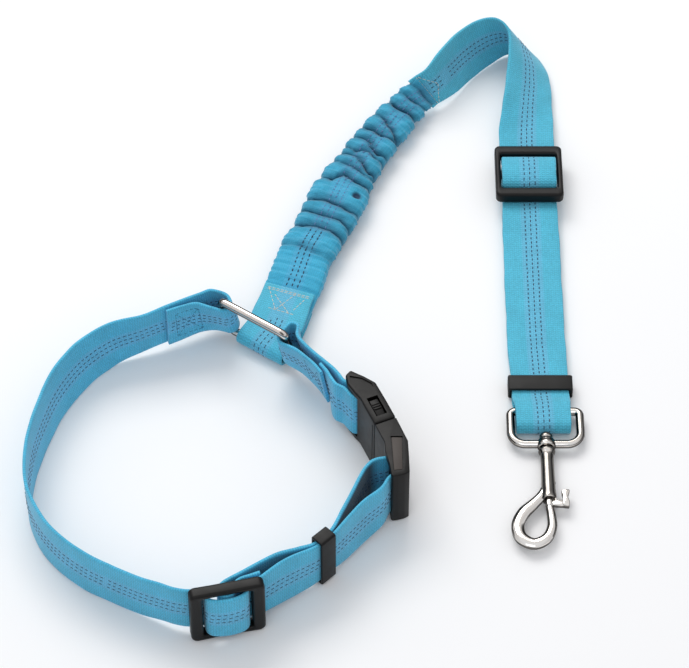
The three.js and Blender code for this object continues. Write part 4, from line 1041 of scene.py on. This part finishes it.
def sleeve_top(along, across, off):
    """A place off the sleeve's upper face."""
    width, depth = half_sizes(along)
    phi = np.clip(across / width, -0.98, 0.98)
    height = depth * (1 - phi**4) ** 0.25 + puff(along, phi)
    return sleeve_point(along, across, height + off, pull(along, phi))


SLEEVE_COLS = 112
along = np.repeat(lengths[:, None], SLEEVE_COLS, 1)
turn = (np.arange(SLEEVE_COLS) + 0.5) / SLEEVE_COLS * 2 * math.pi
turn = np.repeat(turn[None, :], len(lengths), 0)
cosine, sine = np.cos(turn), np.sin(turn)
width, depth = half_sizes(along)
across = width * np.sign(cosine) * np.abs(cosine) ** 0.5
height = depth * np.sign(sine) * np.abs(sine) ** 0.5
phi = across / width
out_x = np.sign(cosine) * np.abs(phi) ** 3 / width
out_y = np.sign(sine) * np.abs(height / depth) ** 3 / depth
out_length = np.sqrt(out_x**2 + out_y**2) + 1e-9
swell = puff(along, phi)
swell = np.where(sine < 0, np.minimum(swell, 0.9) * 0.7, swell)
skin = sleeve_point(along, across + out_x / out_length * swell * 1.15,
                    height + out_y / out_length * swell, pull(along, phi))
skin[..., 2] = np.maximum(skin[..., 2], 0.35)  # keeps the cloth above the floor
sleeve = tube_mesh("gathered_sleeve", skin, GATHER,
                   uv=np.stack([(along * 1.5).ravel(), across.ravel()], 1))
# painted shade in the creases and the dimple, weaker on the underside
add_attribute(sleeve, "painted_crease_shade", groove(along, phi) * (0.35 + 0.65 * (sine > -0.4)))
SLEEVE_SPAN = ("bungee_end", "leash", (-24, 18, 5), (36, 134, 5))
soft(sleeve, SLEEVE_SPAN, "bungee_sleeve", slot="webbing")

flat_dashes, fold_dashes = [], []
random = np.random.default_rng(5)
for row in (-2.5, 0.0, 2.5):
    place = 18.0 + random.uniform(0, 0.6)
    while place < lengths[-1] - 3:
        dashes = flat_dashes if place < 50 else fold_dashes
        dashes.append((place, row + 0.25 * math.sin(place / 7.0), 1, 0.0))
        place += 1.75 if place > 38 else 2.3
soft(dash_mesh("sleeve_thread", sleeve_top, flat_dashes, DARK_THREAD,
               length=1.3, width=0.6, lift=0.16, base=0.05), SLEEVE_SPAN)
soft(dash_mesh("sleeve_thread_folds", sleeve_top, fold_dashes, LILAC_THREAD,
               length=1.0, width=0.5, lift=0.14, base=0.05), SLEEVE_SPAN)

# elastic inside the sleeve, narrowing towards the leash
elastic = Strip([[*SLEEVE[i, :6], min(15, 15 - 1.6 * (i - 8))] for i in range(1, 13)], step=1.2)
soft(web_ribbon("elastic_inside", elastic, 0.0, elastic.end, ELASTIC, cols=9, thick=1.2, seed=12),
     SLEEVE_SPAN, "elastic_band", slot="elastic")

# ---- leash webbing ----------------------------------------------------------------------------
leash = Strip(LEASH)
leash_join = leash.nearest(leash_glide_point(*SIDE_BAR))
ARCH_SPAN = ("leash", "leash_glide", (70, 146, 8), (86, 101, 8))
RUN_SPAN = ("leash_glide", "leash", (82.2, 79, 5), (82.2, -24, 5))
soft(web_ribbon("leash_strap_arch", leash, 0.0, leash_join, WEB, seed=13), ARCH_SPAN,
     "leash_webbing", slot="webbing")
soft(web_ribbon("leash_strap_run", leash, leash_join, leash.end, WEB, seed=14), RUN_SPAN,
     slot="webbing")
soft(thread_rows("leash_thread_arch", leash, 5.0, leash_join, seed=15, skip=(13.0, 17.5)),
     ARCH_SPAN)
soft(thread_rows("leash_thread_run", leash, leash_join, leash.end, seed=16), RUN_SPAN)
LEASH_SEAMS = [(4.0, 8.6, 9.4, 0.0), (9.4, 0.0, 4.6, -8.8), (3.4, 8.8, 3.6, -8.8)]
leash_seams = [dash for side in (1, -1) for dash in stitches(LEASH_SEAMS, 1.8, (side,))]
soft(dash_mesh("leash_seam_stitch", leash.at, leash_seams, LIGHT_THREAD, length=1.6, width=0.45,
               lift=0.16), ARCH_SPAN)


# ---- tri-glides and keepers -------------------------------------------------------------------
GLIDE_BAR_SECTION = [
    (-2.0, -0.9), (-1.4, -1.5), (1.4, -1.5), (2.0, -0.9),
    (2.0, 0.9), (1.4, 1.5), (-1.4, 1.5), (-2.0, 0.9)]
for strap, point in (("loop", loop_glide_point), ("leash", leash_glide_point)):
    name = f"{strap}_glide_frame"
    rim = frame_body(name, rounded_rect(15.2, 15.0, 2.3, 6, 8),
                     rounded_rect(10.1, 12.45, 1.2, 6, 8), depth=5.4, bevel=1.3,
                     place=lambda x, y, z: point(x, y, z + 0.6))
    middle_bar = prism(name + "_bar", GLIDE_BAR_SECTION, -14.0, 14.0,
                       lambda x, y, z: point(x, z, y), bevel=0.25, segs=2)
    hard(join(name, rim, middle_bar), f"{strap}_glide", f"{strap}_tri_glide", slot="plastic")

for strap, point in (("loop", loop_keeper_point), ("leash", leash_keeper_point)):
    band = frame_body(f"{strap}_keeper_sleeve", rounded_rect(13.7, 3.15, 1.0, 5, 4),
                      rounded_rect(12.5, 1.95, 0.4, 5, 4), depth=7.8, bevel=0.4, place=point)
    hard(band, f"{strap}_keeper_band", f"{strap}_keeper", slot="plastic")


# ---- buckle: outlines are (along from the seam, out to the side) --------------------------------
def buckle_bar(name, centre):
    rings = [[buckle_point(*polar(centre, 15 * k, WIRE_RADIUS), z) for k in range(24)]
             for z in (1.0, BUCKLE_MID, 30.0)]
    return tube_mesh(name, rings, PLASTIC, sharp=40)


WEB_ROOM = (BUCKLE_LOW + 2.7, BUCKLE_HIGH - 2.7)
socket_body = prism("socket_body", [
    (-0.2, -4.7), (-0.2, 4.9), (-10, 4.9), (-15, 4.8), (-20.2, 4.7), (-25, 1.7), (-30.3, -2.3),
    (-28.8, -5.2), (-24, -6.4), (-18.5, -5.6), (-15, -4.7)], BUCKLE_LOW, BUCKLE_HIGH, bevel=0.75)
SOCKET_WINDOW = box(-13.6, -3.4, -2.3, 2.5)
cut_blocks(socket_body, [
    ([(-16.6, -9), (-16.6, 2.0), (-20.4, 2.0), (-24.2, -0.4), (-29.2, -4.1), (-31.5, -5.6),
      (-31.5, -9)], *WEB_ROOM),
    (box(-14.9, 2, -2.9, 3.1), 2.4, 28.6),  # the mouth for the tongue
    (SOCKET_WINDOW, -2, 6),
    (SOCKET_WINDOW, 25, 33),
    # shallow recess in the top face, then a slit across the minus side
    ([(-27.6, -3.9), (-24.2, -4.9), (-18.4, -4.3), (-18.4, 3.0), (-20.4, 3.0), (-24.6, 0.3)],
     BUCKLE_HIGH - 0.55, BUCKLE_HIGH + 2),
    ([(-1.9, -9), (-1.9, -4.3), (-2.5, -4.3), (-2.5, -9)], BUCKLE_LOW + 3, BUCKLE_HIGH - 3)])
hard(join("buckle_socket_shell", socket_body, buckle_bar("socket_bar", SOCKET_BAR)),
     "headrest_loop", "buckle_socket", slot="plastic")

plug_body = prism("plug_body", [
    (0.2, -4.7), (10, -4.7), (14.5, -6.4), (21, -7.4), (26.6, -8.9), (27.5, -8.6), (28.1, -6.4),
    (28.4, -3.6), (28, -1.4), (19.5, 2.0), (13, 4.5), (0.2, 4.9)], BUCKLE_LOW, BUCKLE_HIGH)
PLUG_POCKET = box(-2, 4.2, -2.6, 2.8)
cut_blocks(plug_body, [
    ([(12.3, -10), (12.3, 1.6), (14.5, 1.6), (19, -0.4), (25.6, -3.4), (26.2, -5.4),
      (26.1, -7.6), (26.2, -10)], *WEB_ROOM),
    (PLUG_POCKET, 3.4, 10.6),
    (PLUG_POCKET, 20.4, 27.6),
    ([(8.2, -1.2), (10.2, 3.4), (26.0, -3.3), (24.9, -7.3)],
     BUCKLE_HIGH - 0.6, BUCKLE_HIGH + 2)])  # recess for the panel
panel = prism("plug_panel", [(8.7, -1.0), (10.5, 2.95), (25.5, -3.5), (24.6, -6.9)],
              BUCKLE_HIGH - 0.9, BUCKLE_HIGH - 0.25, mat=PANEL, bevel=0.25, segs=2)
tongue = prism("plug_tongue", [
    (1, -2.3), (1, 2.5), (-11, 2.5), (-12.5, 1.4), (-12.5, -1.2), (-11, -2.3)],
    13.2, 17.8, bevel=0.4)
hard(join("buckle_plug_body", plug_body, panel, tongue, buckle_bar("plug_bar", PLUG_BAR)),
     "plug", "buckle_plug", slot="plastic")

# latch arms, mirrored above and below mid height: (along, up or down from the middle)
ARM = [
    (3.6, 6.0), (3.6, 9.4), (1.0, 10.2), (-3.2, 12.6), (-4.0, 14.2), (-8.6, 14.7),
    (-12.2, 14.7), (-13.2, 13.2), (-14.2, 9.4), (-10.5, 9.6), (-4.0, 8.6), (0.6, 6.0)]
for level, way in (("upper", 1), ("lower", -1)):
    point = frame_at((*BUCKLE_SEAM, BUCKLE_MID), ALONG_BUCKLE, (0, 0, way), OUT_OF_BUCKLE)
    arm = prism(f"latch_{level}", ARM, -1.8, 2.0, point, bevel=0.3, segs=2)
    ribs = [prism("rib", box(start, start + 0.7, 14.2, 15.05), -1.5, 1.7, point, bevel=0.15,
                  segs=2) for start in (-10.2, -9.0, -7.8)]
    hard(join(f"latch_{level}", arm, *ribs), f"arm_{level}", f"latch_arm_{level}", slot="plastic")

# ---- ring -------------------------------------------------------------------------------------
ring_path = [RING_MID + RING_DIR * a + np.array(RING_AXIS) * b
             for a, b in rounded_rect(RING_HALF, RING_HEIGHT / 2, 2.6, 10, 12)]
hard(tube_mesh("ring_wire", sweep(ring_path, circle(WIRE_RADIUS), closed=True, ref=RING_OUT),
               RING_CHROME, closed=True), "headrest_loop", "connector_ring", slot="chrome")

# ---- swivel bolt snap: bail -------------------------------------------------------------------
BAIL_HALF = 14.6
bail_path = []
for side, end, radius, start, steps in (  # clockwise bends at the wire's four corners
        (1, BAIL_FAR, 2.2, 90, 8), (1, BAIL_NEAR, 6.0, 0, 16),
        (-1, BAIL_NEAR, 6.0, -90, 16), (-1, BAIL_FAR, 2.2, 180, 8)):
    inward = -radius if end == BAIL_FAR else radius
    centre = (SNAP_X + side * (BAIL_HALF - radius), end + inward)
    bail_path += [(*polar(centre, start - 90 * i / steps, radius), SNAP_Z)
                  for i in range(steps + 1)]
bail_wire = tube_mesh("bail_wire", sweep(bail_path, circle(WIRE_RADIUS), closed=True),
                      WIRE_CHROME, closed=True)
COLLAR = [  # radius, y
    (2.05, -61.2), (2.9, -61.1), (3.5, -61.8), (3.75, -63.0), (3.95, -64.2), (3.75, -65.3),
    (3.1, -65.7), (2.05, -65.6)]
collar = lathe("bail_collar", catmull(COLLAR, 40), WIRE_CHROME)
hard(join("bail", bail_wire, collar), "bail", "hook_bail", slot="chrome")

# ---- swivel bolt snap: barrel and hook --------------------------------------------------------
BARREL = [  # radius, y: the swivel stud through the bail, then the barrel
    (0.02, BAIL_NEAR + 5.8), (1.2, BAIL_NEAR + 5.6), (2.3, BAIL_NEAR + 4.9),
    (2.85, BAIL_NEAR + 3.8), (2.7, BAIL_NEAR + 2.6), (1.6, BAIL_NEAR + 2.4),
    (1.6, BARREL_FAR + 0.5), (2.6, BARREL_FAR + 0.2), (3.4, BARREL_FAR - 0.5),
    (3.6, BARREL_FAR - 1.3), (3.3, BARREL_FAR - 2.2), (2.9, BARREL_FAR - 3.0),
    (2.85, BARREL_FAR - 9), (3.1, BARREL_NEAR + 6), (3.2, BARREL_NEAR + 0.4),
    (3.0, BARREL_NEAR), (0.02, BARREL_NEAR)]
barrel = lathe("barrel", catmull(BARREL, 120), ROUND_CHROME, sharp=50)
bore = lathe("bore", [(2.05, BARREL_FAR - 3.4), (2.05, BARREL_NEAR - 3.6)], CHROME, count=32,
             sharp=None)
slot = prism("slot", box(SNAP_X, SNAP_X + 6, BARREL_NEAR - 0.5, BARREL_NEAR + 8.6),
             SNAP_Z - 1.4, SNAP_Z + 1.4, layout_point, CHROME, bevel=0)
cut(barrel, bore, slot)

HOOK = [  # x, y along the hook's centre line, from the barrel round to its tip
    (83.4, -83.5), (82.7, -87.2), (80.7, -91.2), (77.6, -94.9), (73.4, -99.6), (70.9, -106.0),
    (72.2, -112.0), (77.3, -115.0), (82.4, -112.4), (84.9, -106.8), (84.9, -101.0),
    (84.4, -96.6)]
OCTAGON = np.array([
    (1.0, 0.42), (0.42, 1.0), (-0.42, 1.0), (-1.0, 0.42),
    (-1.0, -0.42), (-0.42, -1.0), (0.42, -1.0), (1.0, -0.42)])
_, hook_path = even(catmull([(x, y, SNAP_Z) for x, y in HOOK], 160), step=0.35)
hook_section = [start + (end - start) * k  # two points on each side soften the corners
                for start, end in zip(OCTAGON, np.roll(OCTAGON, -1, 0)) for k in (0.12, 0.88)]
progress, knots = np.linspace(0, 1, len(hook_path)), (0, 0.3, 0.55, 1)
hook_scale = np.stack([np.interp(progress, knots, (1.4, 2.05, 2.05, 1.65)),  # half thickness
                       np.interp(progress, knots, (1.55, 2.65, 2.65, 1.7))], 1)  # half width
hook = tube_mesh("hook_curve", sweep(hook_path, hook_section, scale=hook_scale), CHROME, sharp=24)
hard(join("hook_casting", barrel, hook), "hook", "hook_body", slot="chrome")

# ---- swivel bolt snap: sliding bolt and spring ------------------------------------------------
BOLT_NEAR, BOLT_FAR = BARREL_NEAR - 3.4, BARREL_NEAR + 9.8


def lever(name, outline, half_depth, bevel):
    """A block on the bolt; the outline runs from the snap's axis and the bolt's near end."""
    return prism(name, [(SNAP_X + x, BOLT_NEAR + y) for x, y in outline],
                 SNAP_Z - half_depth, SNAP_Z + half_depth, layout_point, CHROME, bevel=bevel)


rod = lathe("bolt_rod", [
    (0.02, BOLT_FAR), (1.4, BOLT_FAR), (1.7, BOLT_FAR - 0.4), (1.7, BOLT_NEAR + 0.5),
    (1.3, BOLT_NEAR), (0.02, BOLT_NEAR)], CHROME)
foot = lever("lever_foot", [
    (0.4, 0.3), (5.6, -0.1), (7.2, 0.6), (7.2, 2.4), (5.6, 3.0), (0.4, 2.7)], 1.05, 0.35)
thumb = lever("lever_up", [
    (5.4, 0.2), (8.2, -0.2), (8.4, 2.0), (7.7, 4.6), (8.6, 7.2), (8.4, 8.1), (5.6, 8.1),
    (5.1, 7.2), (5.7, 4.6)], 1.5, 0.45)
hard(join("thumb_bolt", rod, foot, thumb), "bolt", "hook_bolt", slot="chrome")

SPRING_NEAR, SPRING_FAR = BOLT_FAR + 0.6, BARREL_FAR - 4.0
COILS, COIL_STEPS, COIL_RADIUS = 7, 28, 1.35
spring_path = []
for i in range(COILS * COIL_STEPS + 1):
    x, z = polar((SNAP_X, SNAP_Z), 360 * i / COIL_STEPS, COIL_RADIUS)
    y = SPRING_NEAR + (SPRING_FAR - SPRING_NEAR) * i / (COILS * COIL_STEPS)
    spring_path.append((x, y, z))
SPRING_SPAN = ("hook", "bolt", (SNAP_X, SPRING_FAR - 0.3, SNAP_Z),
               (SNAP_X, SPRING_NEAR + 0.4, SNAP_Z))
soft(tube_mesh("return_spring", sweep(spring_path, circle(0.28, 8), ref=(0, 1, 0.01)), STEEL),
     SPRING_SPAN, "bolt_spring", slot="spring_steel")

# ---- stage, in metres: floor, light, camera ---------------------------------------------------
bpy.ops.mesh.primitive_plane_add(size=6, location=(0, 0, -0.0002))
floor = bpy.context.object
floor.name = "floor"
white = Shader("floor_white")
patches = white.noise(white.object_coords(), scale=2.0, detail=2)
white.set(Base_Color=white.mix(patches, (0.90, 0.905, 0.915, 1), (0.92, 0.92, 0.925, 1)),
          Roughness=0.85, Specular_IOR_Level=0.15)
floor.data.materials.append(white.mat)
floor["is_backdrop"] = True

# world: brightness by height, (position, grey), warmer low down and bluer above the dark base
SKY = ((0.10, 0.10), (0.24, 0.35), (0.40, 0.95), (0.62, 0.80), (0.80, 1.0))
world = bpy.data.worlds.new("studio")
bpy.context.scene.world = world
world.use_nodes = True
nodes = world.node_tree.nodes
background = nodes["Background"]
coords = nodes.new("ShaderNodeTexCoord")
split = nodes.new("ShaderNodeSeparateXYZ")
ramp = nodes.new("ShaderNodeValToRGB")
fill_ramp(ramp, first=(0.06, 0.055, 0.05, 1), last=(1.0, 1.0, 1.0, 1), stops=[
    (position, (c * 0.96, c, c * 1.06, 1) if position < 0.5 else (c, c, c * 1.02, 1))
    for position, c in SKY])
feed(split.inputs[0], coords.outputs["Generated"])
feed(ramp.inputs[0], split.outputs[2])
feed(background.inputs[0], ramp.outputs[0])
background.inputs[1].default_value = 0.86  # strength


def area_light(name, location, size, power, color):
    """A rectangular light aimed at the scene's origin."""
    light = bpy.data.lights.new(name, "AREA")
    light.shape = "RECTANGLE"
    light.size, light.size_y = size
    light.energy = power
    light.color = color
    lamp = link_object(name, light)
    lamp.location = location
    lamp.rotation_euler = (-Vector(location)).to_track_quat("-Z", "Y").to_euler()
    lamp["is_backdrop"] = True


area_light("key", location=(-0.35, 0.95, 1.25), size=(1.2, 0.8), power=15.0,
           color=(1.0, 0.99, 0.97))
area_light("fill", location=(-0.3, -1.3, 1.3), size=(1.2, 1.0), power=3.0,
           color=(0.97, 0.98, 1.0))

lens = bpy.data.cameras.new("camera")
lens.sensor_width = 36
lens.sensor_fit = "HORIZONTAL"
lens.lens = 169.7
camera = link_object("camera", lens)
camera.location = (0.0154, -0.90435, 1.0723)
camera.rotation_euler = (math.radians(40), 0, 0)
bpy.context.scene.camera = camera
view = bpy.context.scene.view_settings
view.view_transform = "Standard"
view.look = "None"
view.exposure = -0.12

model_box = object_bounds()
plain = lambda b: [[float(x) for x in p] for p in b] if hasattr(b[0], "__len__") else [float(x) for x in b]
{"cad": plain(cad_box), "visual": plain(model_box)}
